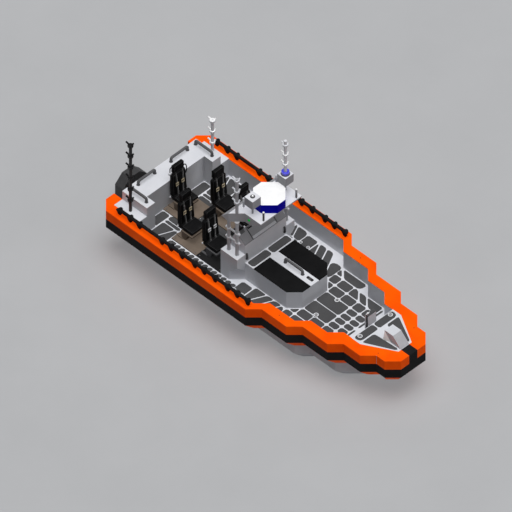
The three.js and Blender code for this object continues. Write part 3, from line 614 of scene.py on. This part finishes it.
def blankMesh(name, form):
    # the pad before it is stuffed: a convex block with its upper corners cut
    cutIn, cutDown = form["corner"]
    half = form["half"]

    def build(bm):
        for x, z in form["side"]:
            atTop = z > form["top"] - 0.02 and cutDown > 0
            reach = half - cutIn if atTop else half
            for side in (1, -1):
                bm.verts.new(place(x, reach * side, z))
                if atTop:
                    bm.verts.new(place(x, half * side, z - cutDown))
        bmesh.ops.convex_hull(bm, input=bm.verts)
    return meshFrom(name, build)


def settledMesh(obj):
    graph = bpy.context.evaluated_depsgraph_get()
    return bpy.data.meshes.new_from_object(obj.evaluated_get(graph))


def stuffedMesh(name, form):
    # cloth swells the block under pressure, and the cap keeps each point near where it began
    blank = bpy.data.objects.new(name + "Blank", blankMesh(name + "Blank", form))
    scene.collection.objects.link(blank)
    remesh = blank.modifiers.new("remesh", "REMESH")
    remesh.mode = "VOXEL"
    remesh.voxel_size = seatLook["voxel"]
    even = settledMesh(blank)
    blank.modifiers.clear()
    blank.data = even
    start = [v.co.copy() for v in even.vertices]
    cloth = blank.modifiers.new("stuffing", "CLOTH")
    cloth.settings.use_pressure = True
    cloth.settings.uniform_pressure_force = seatLook["pressure"]
    cloth.settings.effector_weights.gravity = 0
    cloth.settings.quality = 4
    for frameNumber in range(1, seatLook["settleFrames"] + 1):
        scene.frame_set(frameNumber)
    swollen = settledMesh(blank)
    for i, vertex in enumerate(swollen.vertices):
        move = vertex.co - start[i]
        if move.length > seatLook["cap"]:
            move = move.normalized() * seatLook["cap"]
        even.vertices[i].co = start[i] + move
    scene.frame_set(1)
    bpy.data.objects.remove(blank)
    return even


# sewn lines on the side a pad faces, in blocks: how far out they lie, where they run and where they end
# the depth is in metres
seams = {
    "cushion": dict(axis=2, lines=(0.64,), run=(-9, 0.36), ends=(-0.3, 0.36), depth=0.006),
    "back": dict(axis=0, lines=(0.2, 0.64), run=(-0.4, 1.72), ends=(-0.4, 1.72), depth=0.006),
    "headrest": dict(axis=0, lines=(0.42,), run=(2.17, 2.69), ends=(2.17, 2.69), depth=0.0048),
}


def sew(vertex, seam):
    # the pad is drawn in along its seams
    if vertex.normal[seam["axis"]] < seatLook["facing"]:
        return
    across = abs(vertex.co.y) / block
    along = vertex.co.x / block if seam["axis"] == 2 else vertex.co.z / block + waterLevel
    low, high = seam["run"]
    gaps = [abs(across - line) for line in seam["lines"]] if low < along < high else []
    if across < seam["lines"][-1]:
        gaps += [abs(along - end) for end in seam["ends"]]
    if gaps:
        vertex.co[seam["axis"]] -= seam["depth"] * math.exp(-(min(gaps) * block / seatLook["seamWidth"]) ** 2)


padMeshes = {}
for formName, form in seatForms.items():
    padMeshes[formName] = stuffedMesh("seat" + formName.capitalize(), form)
    for vertex in padMeshes[formName].vertices:
        sew(vertex, seams[formName])
    print("stuffed", formName, len(padMeshes[formName].vertices))


padTrees = {
    name: BVHTree.FromPolygons([v.co for v in mesh.vertices], [tuple(f.vertices) for f in mesh.polygons])
    for name, mesh in padMeshes.items()
}


def pipeOn(bm, treeName, corners, plane):
    # a closed line of points laid on the pad, then piped
    tree = padTrees[treeName]
    points = []
    count = len(corners)
    for i in range(count):
        first, second = Vector(corners[i]), Vector(corners[(i + 1) % count])
        steps = max(2, int((second - first).length / seatLook["pipeStep"]))
        for k in range(steps):
            u, v = first.lerp(second, k / steps)
            spot = place(*((plane, u, v) if treeName != "cushion" else (u, v, plane)))
            hit, normal, _, _ = tree.find_nearest(spot)
            points.append(hit + normal * seatLook["pipeLift"])
    addTube(bm, points, seatLook["pipe"], 8, closed=True)


def buildPiping(bm):
    pipeOn(bm, "back", [
        (-0.77, -0.5), (-0.77, 1.74), (-0.62, 1.87), (0.62, 1.87), (0.77, 1.74), (0.77, -0.5),
    ], -0.9)
    pipeOn(bm, "headrest", [
        (-0.54, 2.12), (-0.54, 2.72), (-0.47, 2.81), (0.47, 2.81), (0.54, 2.72), (0.54, 2.12), (0.47, 2.05),
        (-0.47, 2.05),
    ], -1.03)
    pipeOn(bm, "cushion", [
        (-0.7, -0.79), (0.42, -0.79), (0.5, -0.7), (0.5, 0.7), (0.42, 0.79), (-0.7, 0.79),
    ], -0.54)


# straps in blocks, their thickness and lift in metres
harness = dict(
    width=0.18, thickness=0.003, across=0.4, footAcross=0.29, top=1.84, foot=-0.42, steps=24, lift=0.004,
    lean=(1, 0, 0.08), behind=(1.35, 1.6, 1.85), overTop=(150, 120, 90, 60, 30),
    lap=((-0.78, -0.5), (-0.7, -0.525)),
)
# buckles in blocks, their depth, lift and bar in metres, and the hole and bars as shares of the size
buckle = dict(rise=0.7, width=0.34, height=0.36, hole=(0.6, 0.54), depth=0.011, lift=0.006, bar=0.003,
              barReach=0.36, barLevels=(-0.62, 0.62), lean=(-0.08, 0, 1))


def addStrap(bm, points, normals):
    half = Vector((0, harness["width"] * block / 2, 0))
    rings = []
    for point, normal in zip(points, normals):
        lift = normal * harness["thickness"]
        rings.append([bm.verts.new(point + way) for way in (-half, half, half + lift, lift - half)])
    skinRings(bm, rings)


def onBack(across, rise):
    hit, normal, _, _ = padTrees["back"].ray_cast(place(0.5, across, rise), Vector((-1, 0, 0)))
    return hit, normal


def acrossAt(rise):
    # the straps draw together towards the lap
    share = min(max((harness["top"] - rise) / (harness["top"] - harness["foot"]), 0), 1)
    return harness["across"] + (harness["footAcross"] - harness["across"]) * share


def buildHarness(bm):
    # each strap starts behind the shell, goes over the top and runs down the back to the cushion
    drop = (harness["top"] - harness["foot"]) / (harness["steps"] - 1)
    for side in (1, -1):
        across, foot = harness["across"] * side, harness["footAcross"] * side
        points = [place(-1.41, across, z) for z in harness["behind"]]
        normals = [Vector((-1, 0, 0))] * len(points)
        for angle in harness["overTop"]:
            a = math.radians(angle)
            points.append(place(-1.2 + 0.19 * math.cos(a), across, 1.9 + 0.1 * math.sin(a)))
            normals.append(Vector((math.cos(a), 0, math.sin(a))))
        for k in range(harness["steps"]):
            rise = harness["top"] - k * drop
            hit, normal = onBack(acrossAt(rise) * side, rise)
            points.append(hit + Vector((harness["lift"], 0, 0)))
            normals.append(Vector(harness["lean"]).normalized())
        points += [place(x, foot, z) for x, z in harness["lap"]]
        normals += [Vector((0.7, 0, 0.7)), Vector(upward)]
        addStrap(bm, points, normals)


def eachBuckle():
    for side in (1, -1):
        yield onBack(acrossAt(buckle["rise"]) * side, buckle["rise"])[0]


def addFrame(bm, centre, out, up, outerSize, innerSize, depth):
    # a flat rectangular ring, sizes in metres
    across = up.cross(out)
    skinRings(bm, [
        [bm.verts.new(centre + out * layer + across * (u * width / 2) + up * (v * height / 2))
         for u, v in slab(-1, 1, -1, 1)]
        for (width, height), layer in ((outerSize, 0), (outerSize, depth), (innerSize, depth), (innerSize, 0))
    ], closed=True)


def buildBuckles(bm):
    up, out = Vector(buckle["lean"]).normalized(), Vector(harness["lean"]).normalized()
    width, height = buckle["width"] * block, buckle["height"] * block
    hole = (width * buckle["hole"][0], height * buckle["hole"][1])
    half = Vector((0, width * buckle["barReach"], 0))
    for hit in eachBuckle():
        centre = hit + out * buckle["lift"]
        addFrame(bm, centre, out, up, (width, height), hole, buckle["depth"])
        for level in buckle["barLevels"]:
            bar = centre + out * buckle["depth"] + up * (height / 2 * level)
            addTube(bm, [bar - half, bar + half], buckle["bar"], 8)


def buildReleases(bm):
    for hit in eachBuckle():
        addLathe(bm, hit + Vector((0.003, 0, 0)), harness["lean"], [
            (0, 0), (0, 0.009), (0.006, 0.009), (0.008, 0.007), (0.009, 0),
        ], 16)


def buildShell(bm):
    outline = [
        (-0.7, -0.45), (0.7, -0.45), (0.75, -0.3), (0.75, 1.7), (0.6, 1.82), (-0.6, 1.82), (-0.75, 1.7),
        (-0.75, -0.3),
    ]
    skinRings(bm, [[bm.verts.new(place(x, y, z)) for y, z in outline] for x in (-1.4, -1.3)])
    for y in (-0.3, 0, 0.3):
        addPrism(bm, slab(-1.42, -1.395, y - 0.04, y + 0.04), -0.3, 1.2)
    addBox(bm, (-1.3, -0.3, 1.8), (-1.14, 0.3, 2.1))


seatParts = {
    "Piping": (meshFrom("piping", buildPiping), "pipedVinyl", "seat_vinyl", True, 0),
    "Harness": (meshFrom("harness", buildHarness), "wovenWebbing", "seat_vinyl", True, 0),
    "Buckles": (meshFrom("buckles", buildBuckles), "mouldedIvory", "seat_vinyl", False, 0.0015),
    "Releases": (meshFrom("releases", buildReleases), "mouldedBlackPanel", "seat_vinyl", True, 0),
    "Shell": (meshFrom("shell", buildShell), "mouldedBlackPanel", "lid_black", False, 0.004),
}


def movedCopy(mesh, shift):
    copy = mesh.copy()
    copy.transform(Matrix.Translation(shift))
    return copy


for seatName, (x, y) in seatPlaces.items():
    shift = Vector((x * block, y * block, 0))
    tag = "".join(part.capitalize() for part in seatName.split("_"))
    for formName, mesh in padMeshes.items():
        padName = "seat" + formName.capitalize() + tag
        pad = keepPiece(padName, movedCopy(mesh, shift), "embossedVinyl", "seat_vinyl", smooth=True)
        smoother = pad.modifiers.new("smoother", "SUBSURF")
        smoother.levels = 1
        smoother.render_levels = 1
        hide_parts("seat_" + seatName)
    for partName, (mesh, finish, slotName, smooth, bevel) in seatParts.items():
        # the starboard front seat has white buckles, and both front seats have faded straps
        if partName == "Buckles" and seatName == "front_starboard":
            finish = "paintedWhiteTube"
        if partName == "Harness" and seatName.startswith("front"):
            finish = "fadedWebbing"
        partCopy = movedCopy(mesh, shift)
        keepPiece("seat" + partName + tag, partCopy, finish, slotName, smooth=smooth, bevel=bevel)
print("seats made")

# the white top of the radar, an octagon in blocks
capLook = dict(x=14.43, half=1.49, side=0.5, low=6.958, high=7.0, edge=0.006)


def buildCap(bm):
    h, c = capLook["half"], capLook["side"]
    outline = [(-h, -c), (-c, -h), (c, -h), (h, -c), (h, c), (c, h), (-c, h), (-h, c)]
    addPrism(bm, [(capLook["x"] + x, y) for x, y in outline], capLook["low"], capLook["high"])


fit("radarCap", buildCap, "whiteGelcoat", "white_tube", bevel=capLook["edge"])


def flange(bm, x, y, z, radius, axis=upward, screws=3):
    # a round foot plate with its screws, its place and radius in blocks
    centre = place(x, y, z)
    way = Vector(axis).normalized()
    size = radius * block
    addLathe(bm, centre, way, [(0, 0), (0, size), (0.004, size), (0.006, size * 0.92), (0.006, 0)], 20)
    side = way.orthogonal().normalized()
    across = way.cross(side)
    for a in turns(screws, 0.4):
        spot = centre + way * 0.006 + (side * math.cos(a) + across * math.sin(a)) * size * 0.74
        addScrew(bm, spot, way, size * 0.12)


# console: wipers, ledge, handles, screens and dials, in blocks
consoleLook = dict(
    handleX=14.0, handleAcross=(2.24, -2.36), handleLow=0.33, handleHigh=1.13, handleTube=0.1,
    handleReach=0.1,
    # the foot and head of each slope, along the boat and up, and the way it faces
    screen=((13.974, 2.137), (13.034, 2.994), 1), panel=((12.3, 1.7), (12.8, 2.93), -1),
    panelWay=(-0.926, 0, 0.377), dialShare=0.84, dials=(-2.35, -2.0, -1.65),
    buttonShare=0.12, buttons=[-1.3 + 0.2 * k for k in range(8)], levers=(-1.12, -0.94),
    bezels=((-1.0, 0.6, 0.24, 0.94, 0.002, 0.02), (0.7, 2.0, 0.28, 0.9, 0.002, 0.02)),
)
# on a slope: its name, finish, slot, rounding, then from and to across, up the slope and off its surface
slopePieces = {
    "screenWipers": ("screen", "powderCoatedTube", "black_rubber", 0, [
        (-1.5425, -1.4575, 0.0, 0.98, 0.003, 0.04), (-1.519125, -1.480875, 0.3, 0.7, 0.04, 0.1),
        (1.3875, 1.4725, 0.0, 0.98, 0.003, 0.04), (1.410875, 1.449125, 0.3, 0.7, 0.04, 0.1),
    ]),
    "hoodShade": ("screen", "powderCoatedTube", "lid_black", 0, [(-2.25, -1.8, 0.74, 1.0, 0.003, 0.04)]),
    "screenLedge": ("screen", "greySleeve", "hull_paint", 0.003, [(-1.43, 1.36, 0.005, 0.2, 0.003, 0.03)]),
    "helmDisplays": ("panel", "instrumentGlass", "tinted_screen", 0.001, [
        (-0.9, 0.5, 0.3, 0.88, 0.002, 0.03), (0.8, 1.9, 0.34, 0.84, 0.002, 0.03),
    ]),
}


def slopePoint(face, share, y, out=0.0):
    # a point up the screen or the helm panel, with its distance off the surface
    foot, head, facing = consoleLook[face]
    along = Vector(head) - Vector(foot)
    x, z = Vector(foot) + along * share + Vector((along.y, -along.x)).normalized() * (out * facing)
    return place(x, y, z)


def addOnSlope(bm, face, y0, y1, low, high, near, far):
    # a flat bar on a slope, between two shares of its height
    corners = [(low, near), (high, near), (high, far), (low, far)]
    skinRings(bm, [
        [bm.verts.new(slopePoint(face, share, y, out)) for share, out in corners] for y in (y0, y1)
    ])


def buildHandles(bm):
    x, tube, reach = consoleLook["handleX"], consoleLook["handleTube"], consoleLook["handleReach"]
    low, high = consoleLook["handleLow"], consoleLook["handleHigh"]
    line = [(0, low + tube), (0.7, low + tube * 1.2), (1, low + tube * 2), (1, high - tube * 2),
            (0.7, high - tube * 1.2), (0, high - tube)]
    for y in consoleLook["handleAcross"]:
        addTube(bm, [place(x + reach * share, y, z) for share, z in line], tube * block, 12)


def buildBezels(bm):
    for bezel in consoleLook["bezels"]:
        addOnSlope(bm, "panel", *bezel)
    for y in consoleLook["dials"]:
        addLathe(bm, slopePoint("panel", consoleLook["dialShare"], y), consoleLook["panelWay"], [
            (0, 0), (0, 0.034), (0.01, 0.034), (0.012, 0.028), (0.008, 0.026), (0.008, 0),
        ], 20)
    for y in consoleLook["buttons"]:
        addLathe(bm, slopePoint("panel", consoleLook["buttonShare"], y), consoleLook["panelWay"], [
            (0, 0), (0, 0.012), (0.008, 0.012), (0.011, 0.009), (0.014, 0),
        ], 10)


def buildThrottle(bm):
    # two levers on a squat base to port of the wheel
    addBox(bm, (12.32, -1.2, 0.9), (12.62, -0.86, 1.12))
    for y in consoleLook["levers"]:
        addTube(bm, [place(12.47, y, 1.1), place(12.36, y, 1.42), place(12.3, y, 1.6)], 0.008, 10)
        addLathe(bm, place(12.29, y, 1.58), (-0.3, 0, 1), [
            (0, 0), (0.004, 0.016), (0.02, 0.02), (0.036, 0.016), (0.04, 0),
        ], 14)


for name, (face, finish, slotName, bevel, bars) in slopePieces.items():
    def buildBars(bm):
        for bar in bars:
            addOnSlope(bm, face, *bar)
    fit(name, buildBars, finish, slotName, bevel=bevel)
fit("consoleHandles", buildHandles, "powderCoatedTube", "rail_tube", smooth=True)
fit("helmBezels", buildBezels, "mouldedBlackPanel", "lid_black", bevel=0.0015)
fit("helmThrottle", buildThrottle, "mouldedGrip", "wheel_grip", smooth=True)
print("console fitted out")

# plain boxes: finish, slot, rounding, then low and high corners in blocks
boxPieces = {
    # rubber along the foot of the screen, over the console's front edge
    "screenGasket": ("wornGrabTube", "black_rubber", 0.001, [((13.9, -2.5, 2.09), (14.0, 2.5, 2.125))]),
    # the sounder in front of the screen's head, and the hood over the dials behind the wheel
    "instrumentHoods": ("mouldedBlackPanel", "lid_black", 0.006, [
        ((13.05, -1.4, 2.72), (13.25, -0.92, 2.95)),
        ((12.85, -1.42, 2.92), (13.02, -0.92, 3.05)),
        ((12.84, -2.2, 2.92), (13.02, -1.66, 3.1)),
    ]),
    "instrumentTops": ("wornGrabTube", "rail_tube", 0.002, [((13.07, -1.38, 2.95), (13.23, -0.94, 2.98))]),
    # the bow post's top plate and the rubbing strips on its sides
    "postPlate": ("powderCoatedTube", "rail_tube", 0.003, [((26.56, -0.52, 1.145), (26.97, 0.52, 1.2))]),
    "postStrip": ("extrudedRubber", "black_rubber", 0.002, [
        ((26.77, -0.53, -1.9), (26.95, -0.498, 1.14)),
        ((26.77, 0.498, -1.9), (26.95, 0.53, 1.14)),
    ]),
    # the collar's glued seam near the bow
    "collarSeam": ("ladderPaint", "collar_foam", 0, [
        ((30.0, 2.5, -1), (30.022, 2.512, 0)),
        ((30.0, -2.512, -1), (30.022, -2.5, 0)),
    ]),
}
for name, (finish, slotName, bevel, boxes) in boxPieces.items():
    def buildBoxes(bm):
        for low, high in boxes:
            addBox(bm, low, high)
    fit(name, buildBoxes, finish, slotName, bevel=bevel)

# small turned pieces: outlines in metres, as (distance along the axis, radius)
turnedShapes = {
    "lens": [(0, 0), (0, 0.0325), (0.01, 0.0325), (0.018, 0.02795), (0.025, 0.017875), (0.028, 0)],
    "dome": [(0.012, 0), (0.012, 0.026), (0.024, 0.025), (0.034, 0.019), (0.04, 0.01), (0.042, 0)],
    "cap": [(0, 0.0208), (0, 0.0232), (0.012, 0.0232), (0.019, 0.016), (0.02, 0)],
    "sleeve": [(0, 0.02), (0, 0.0235), (0.236, 0.0235), (0.236, 0.02)],
    "stop": [(0, 0), (0, 0.024), (0.012, 0.024), (0.016, 0.016), (0.016, 0)],
    "valve": [(0, 0), (0, 0.011), (0.004, 0.011), (0.006, 0.008), (0.006, 0)],
    "shade": [(0, 0), (0.01, 0.026), (0.035, 0.034), (0.06, 0.03), (0.075, 0.018), (0.078, 0)],
    "knob": [(-0.02, 0), (-0.02, 0.016), (0.004, 0.018), (0.016, 0.024), (0.028, 0.02), (0.03, 0)],
}
# shape, sides, axis, finish, slot, then places in blocks
turnedPieces = {
    "lightStarboard": ("lens", 20, (0, -1, 0), "greenLens", "beacon_lens", [(14.47, -2.5, 5.52)]),
    "lightPort": ("lens", 20, (0, 1, 0), "redLens", "beacon_lens", [(14.47, 2.5, 5.52)]),
    "lampDome": ("dome", 24, upward, "whiteGelcoat", "white_tube", [(14.4, -2, 8)]),
    # caps and sleeves on the stub tubes that stand across the roof
    "stubCapsFore": ("cap", 18, upward, "whiteGelcoat", "white_tube", [(15.73, 2, 6.98), (15.73, -2, 6.98)]),
    "stubCapsAft": ("cap", 18, upward, "sprayedMarinePaint", "white_tube", [
        (13.3, 2, 6.98), (13.3, -2, 6.98),
    ]),
    "stubSleeveStarboard": ("sleeve", 18, upward, "powderCoatedTube", "rail_tube", [(15.73, -2, 6.02)]),
    "stubSleevePort": ("sleeve", 18, upward, "roofSleeve", "rail_tube", [(15.73, 2, 6.02)]),
    "stubSleevesAft": ("sleeve", 18, upward, "ladderPaint", "white_tube", [
        (13.3, 2, 6.02), (13.3, -2, 6.02),
    ]),
    "trunkLatchEnds": ("stop", 16, upward, "extrudedRubber", "black_rubber", [
        (19.08, 0.075, 0.03), (19.6, 0.075, 0.03),
    ]),
    "collarValves": ("valve", 18, upward, "extrudedRubber", "black_rubber", [
        (x, y * side, 0) for x, y in ((29.9, 2.18), (9.0, 5.75), (20.6, 4.95)) for side in (1, -1)
    ]),
    "aftSeatLamp": ("shade", 18, upward, "paleSleeve", "white_tube", [(3.24, -0.95, 1.98)]),
    "seatKnobs": ("knob", 16, (-0.7, -0.7, 0), "paleSleeve", "white_tube", [
        (x - 1.3, y - 0.72, -0.9) for x, y in seatPlaces.values()
    ]),
}
for name, (shape, sides, axis, finish, slotName, places) in turnedPieces.items():
    def buildTurned(bm):
        for spot in places:
            addLathe(bm, place(*spot), axis, turnedShapes[shape], sides)
    fit(name, buildTurned, finish, slotName, smooth=True)
print("small pieces fitted")

# roof: lamp rings, clamps and foot plates, in blocks
roofLook = dict(lampX=14.4, lampY=2, lampTop=8, legs=(12.5, 13.5), legAcross=(3, -3), legFoot=1, legHead=5,
                rungs=(2.5, 3.6), bolts=(12.2, 13.8))


def buildLampRings(bm):
    # the dome's seat, and an open ring round the foot of the beacon
    x, y, z = roofLook["lampX"], roofLook["lampY"], roofLook["lampTop"]
    addLathe(bm, place(x, -y, z), upward, [
        (0, 0), (0, 0.055), (0.01, 0.055), (0.014, 0.05), (0.012, 0.03), (0.012, 0),
    ])
    addLathe(bm, place(x, y, z), upward, [(0.001, 0.092), (0.001, 0.104), (0.014, 0.104), (0.018, 0.092)], 28)


def buildRoofPlates(bm):
    for y in roofLook["legAcross"]:
        for x in roofLook["legs"]:
            flange(bm, x, y, roofLook["legFoot"], 0.2, screws=4)
            flange(bm, x, y, roofLook["legHead"], 0.22, axis=(0, 0, -1), screws=4)


def buildClamps(bm):
    # a collar on each leg at every rung, and a bolt head outside it
    for y in roofLook["legAcross"]:
        for z in roofLook["rungs"]:
            for x in roofLook["legs"]:
                addLathe(bm, place(x, y, z - 0.1), upward, [
                    (0, 0.04), (0, 0.044), (0.004, 0.047), (0.046, 0.047), (0.05, 0.044), (0.05, 0.04),
                ], 20)
            for x, way in zip(roofLook["bolts"], (-1, 1)):
                addLathe(bm, place(x, y, z), (way, 0, 0), [
                    (-0.02, 0.026), (-0.02, 0.03), (0.004, 0.03), (0.009, 0.022), (0.011, 0),
                ], 16)


fit("lampRings", buildLampRings, "powderCoatedTube", "rail_tube", smooth=True)
fit("roofPlates", buildRoofPlates, "ladderPaint", "white_tube", bevel=0.001)
fit("ladderClamps", buildClamps, "sprayedMarinePaint", "white_tube", smooth=True)
print("roof fitted out")

# aerials: collars and stub elements over each ring, given as (x, y, heights) in blocks
aerialRings = {
    "whiteRings": ("whiteGelcoat", "aerial_pale", [(2.5, 5, (1.33, 2.66, 3.92)), (14.4, 2, (9.17, 10.33))]),
    "greyRings": ("sprayedMarinePaint", "aerial_pale", [(13.4, -2.92, (7.25, 8.58, 9.91))]),
    "blackRings": ("extrudedRubber", "aerial_black", [(2.5, -5, (1.33, 2.66, 3.99, 5.32, 6.65, 7.92))]),
}
stubReach = ((-0.54, 0, 0.13), (0, 0.38, 0))
for ringName, (ringFinish, ringSlot, places) in aerialRings.items():
    def buildRings(bm):
        for x, y, heights in places:
            for z in heights:
                addLathe(bm, place(x, y, z - 0.1), upward, [
                    (0, 0.03), (0, 0.048), (0.005, 0.066), (0.045, 0.066), (0.05, 0.048), (0.05, 0.03),
                ], 8)
                for dx, dy, dz in stubReach:
                    addTube(bm, [place(x, y, z), place(x + dx, y + dy, z + dz)], 0.021, 8)
    fit(ringName, buildRings, ringFinish, ringSlot, smooth=True)
print("aerials fitted out")

# grab rails: a flange under every foot
railFeet = [(1.45, y, 1) for y in (1, 3, -1, -3, 4, -4)]
railFeet += [(3.45, 4, 1), (3.45, -4, 1), (16.4, 0, 0), (18.5, 0, 0)]


def buildRailFeet(bm):
    for foot in railFeet:
        flange(bm, *foot, 0.17, screws=0)


fit("railFeet", buildRailFeet, "powderCoatedTube", "rail_tube", bevel=0.001)

# bow cleat on the post, in blocks, its tube in metres
cleat = dict(x=26.74, z=1.3, ends=(-0.52, -0.06), feet=(-0.4, -0.18), footZ=1.19, knobY=-0.29, tube=0.01)


def buildBowCleat(bm):
    # it sits to starboard of the middle, as the photo shows
    x, z = cleat["x"], cleat["z"]
    addTube(bm, [place(x, y, z) for y in cleat["ends"]], cleat["tube"], 12)
    for y in cleat["feet"]:
        addTube(bm, [place(x, y, cleat["footZ"]), place(x, y, z)], cleat["tube"], 12)
    addLathe(bm, place(x, cleat["knobY"], z), upward, [
        (-0.012, 0), (-0.012, 0.022), (0.008, 0.024), (0.018, 0.015), (0.02, 0),
    ], 16)


fit("bowCleat", buildBowCleat, "paintedWhiteTube", "white_tube", smooth=True)

# bow box: a grey plate on its ramp, painted shade that darkens the slope, and the fillets beside it, in
# blocks
bowBox = dict(rampHead=(30.02, 0.99), rampFoot=(30.97, 0.04), rampHalf=0.49, rampLift=0.008,
              fillet=[(29.02, 0.49, 0.97), (29.83, 0.49, 0), (29.02, 0.49, 0), (29.02, 0.72, 0)])


def buildRampShadePlate(bm):
    half = bowBox["rampHalf"]
    (x0, z0), (x1, z1) = bowBox["rampHead"], bowBox["rampFoot"]
    skinRings(bm, [
        [bm.verts.new(place(x + lift, y, z + lift)) for x, y, z in (
            (x0, -half, z0), (x0, half, z0), (x1, half, z1), (x1, -half, z1),
        )] for lift in (0, bowBox["rampLift"])
    ])


def buildFillets(bm):
    for side in (1, -1):
        bmesh.ops.convex_hull(bm, input=[bm.verts.new(place(x, y * side, z)) for x, y, z in bowBox["fillet"]])


# the plate's grey, darker than the deck's paint, is painted shade on the slope
fit("rampShadePlate", buildRampShadePlate, "ladderPaint", "hull_paint")
# the fillets are white gelcoat, paler than the deck's paint, a painted highlight that makes their steep faces
# read as bright as the lit deck
fit("bowFilletsPaintedHighlight", buildFillets, "whiteGelcoat", "hull_paint")

# trunk: latch, lid hinges and pulls, in blocks
trunkLook = dict(latch=slab(18.98, 19.7, -0.08, 0.22), latchCut=0.05, hinges=(15.5, 17.2, 18.9), low=-0.002)


def buildTrunkLatch(bm):
    addPrism(bm, cutCorners(trunkLook["latch"], trunkLook["latchCut"]), -0.004, 0.03)


fit("trunkLatch", buildTrunkLatch, "powderCoatedTube", "rail_tube", bevel=0.002)
for lidName, side in (("port", 1), ("starboard", -1)):
    def buildLidParts(bm):
        # a pull near the outer edge, and the hinge leaves along the inner one
        near, far = sorted((2.18 * side, 2.34 * side))
        addBox(bm, (16.9, near, trunkLook["low"]), (17.5, far, 0.012))
        near, far = sorted((0.54 * side, 0.72 * side))
        for x in trunkLook["hinges"]:
            addBox(bm, (x - 0.2, near, trunkLook["low"]), (x + 0.2, far, 0.014))
    pieceName = "lidFittings" + lidName.capitalize()
    fit(pieceName, buildLidParts, "mouldedBlackPanel", "lid_black", body="lid_" + lidName, bevel=0.001)
print("deck hardware fitted")

# aft seat: a curved grab handle to port and the arm of a reading lamp, in blocks behind its back
aftLook = dict(x=seatPlaces["aft"][0] - 1.22, tube=0.05, handle=(0.8, 0.3, 1.47, 0.62),
               arm=((-0.6, 2.75), (-0.78, 2.8), (-0.92, 2.7), (-0.93, 2.2)))


def buildSeatHandle(bm):
    middle, across, rise, height = aftLook["handle"]
    angles = [math.radians(105 - 195 * k / 12) for k in range(13)]
    line = [place(aftLook["x"], middle + across * math.cos(a), rise + height * math.sin(a)) for a in angles]
    addTube(bm, line, aftLook["tube"] * block, 10)


def buildSeatLampArm(bm):
    addTube(bm, [place(aftLook["x"], y, z) for y, z in aftLook["arm"]], aftLook["tube"] * block, 10)


fit("aftSeatHandle", buildSeatHandle, "mouldedGrip", "seat_vinyl", smooth=True)
fit("aftSeatLampArm", buildSeatLampArm, "mouldedGrip", "seat_vinyl", smooth=True)
print("seat fittings made")

# seat bases: a bolt at each corner, in blocks from the base's aft end and middle, and its radius in metres
baseLook = dict(aftEnds={"aft": 3, "mid_port": 6, "mid_starboard": 6, "front_port": 9, "front_starboard": 9},
                along=(0.25, 2.75), across=(-1.32, 1.32), rise=0.12, bolt=0.014)


def buildBaseBolts(bm):
    for name, (x, y) in seatPlaces.items():
        for dx in baseLook["along"]:
            for dy in baseLook["across"]:
                spot = place(baseLook["aftEnds"][name] + dx, y + dy, soleTop + baseLook["rise"])
                addScrew(bm, spot, upward, baseLook["bolt"])


fit("baseBolts", buildBaseBolts, "anodisedRail", "rail_tube", smooth=True)

# jet unit: bolts round its flange on the transom, in blocks, and their radius in metres
jetLook = dict(bolts=12, circle=0.95, x=0.75, z=-4, boltRadius=0.02)


def buildJetBolts(bm):
    circle = jetLook["circle"]
    for a in turns(jetLook["bolts"], 0.26):
        spot = place(jetLook["x"], circle * math.cos(a), jetLook["z"] + circle * math.sin(a))
        addScrew(bm, spot, (-1, 0, 0), jetLook["boltRadius"])


fit("jetBolts", buildJetBolts, "anodisedRail", "jet_metal", smooth=True)

# helm wheel: stitches round the rim and a cap on the hub, in metres
wheelLook = dict(centre=(3.027125, -0.5, 1.796392), way=(-0.9264, 0, 0.3766), stitches=48, stitchCircle=0.155,
                 stitchLift=0.0152, thread=0.0014, capLift=0.024)
wheelCentre, wheelWay = Vector(wheelLook["centre"]), Vector(wheelLook["way"]).normalized()


def buildWheelCap(bm):
    addLathe(bm, wheelCentre + wheelWay * wheelLook["capLift"], wheelWay, [
        (0, 0), (0, 0.03), (0.006, 0.03), (0.01, 0.022), (0.011, 0),
    ])


def buildWheelStitches(bm):
    side = Vector((0, 1, 0))
    across = wheelWay.cross(side)
    for a in turns(wheelLook["stitches"]):
        out = side * math.cos(a) + across * math.sin(a)
        along = side * -math.sin(a) + across * math.cos(a)
        spot = wheelCentre + out * wheelLook["stitchCircle"] + wheelWay * wheelLook["stitchLift"]
        slant = along * 0.003 + out * 0.004
        addTube(bm, [spot - slant, spot + slant], wheelLook["thread"], 5)


fit("wheelCap", buildWheelCap, "powderCoatedTube", "wheel_grip", body="helm_wheel", smooth=True)
fit("wheelStitches", buildWheelStitches, "paintedWhiteTube", "wheel_grip", body="helm_wheel", smooth=True)
print("helm and jet detailed")
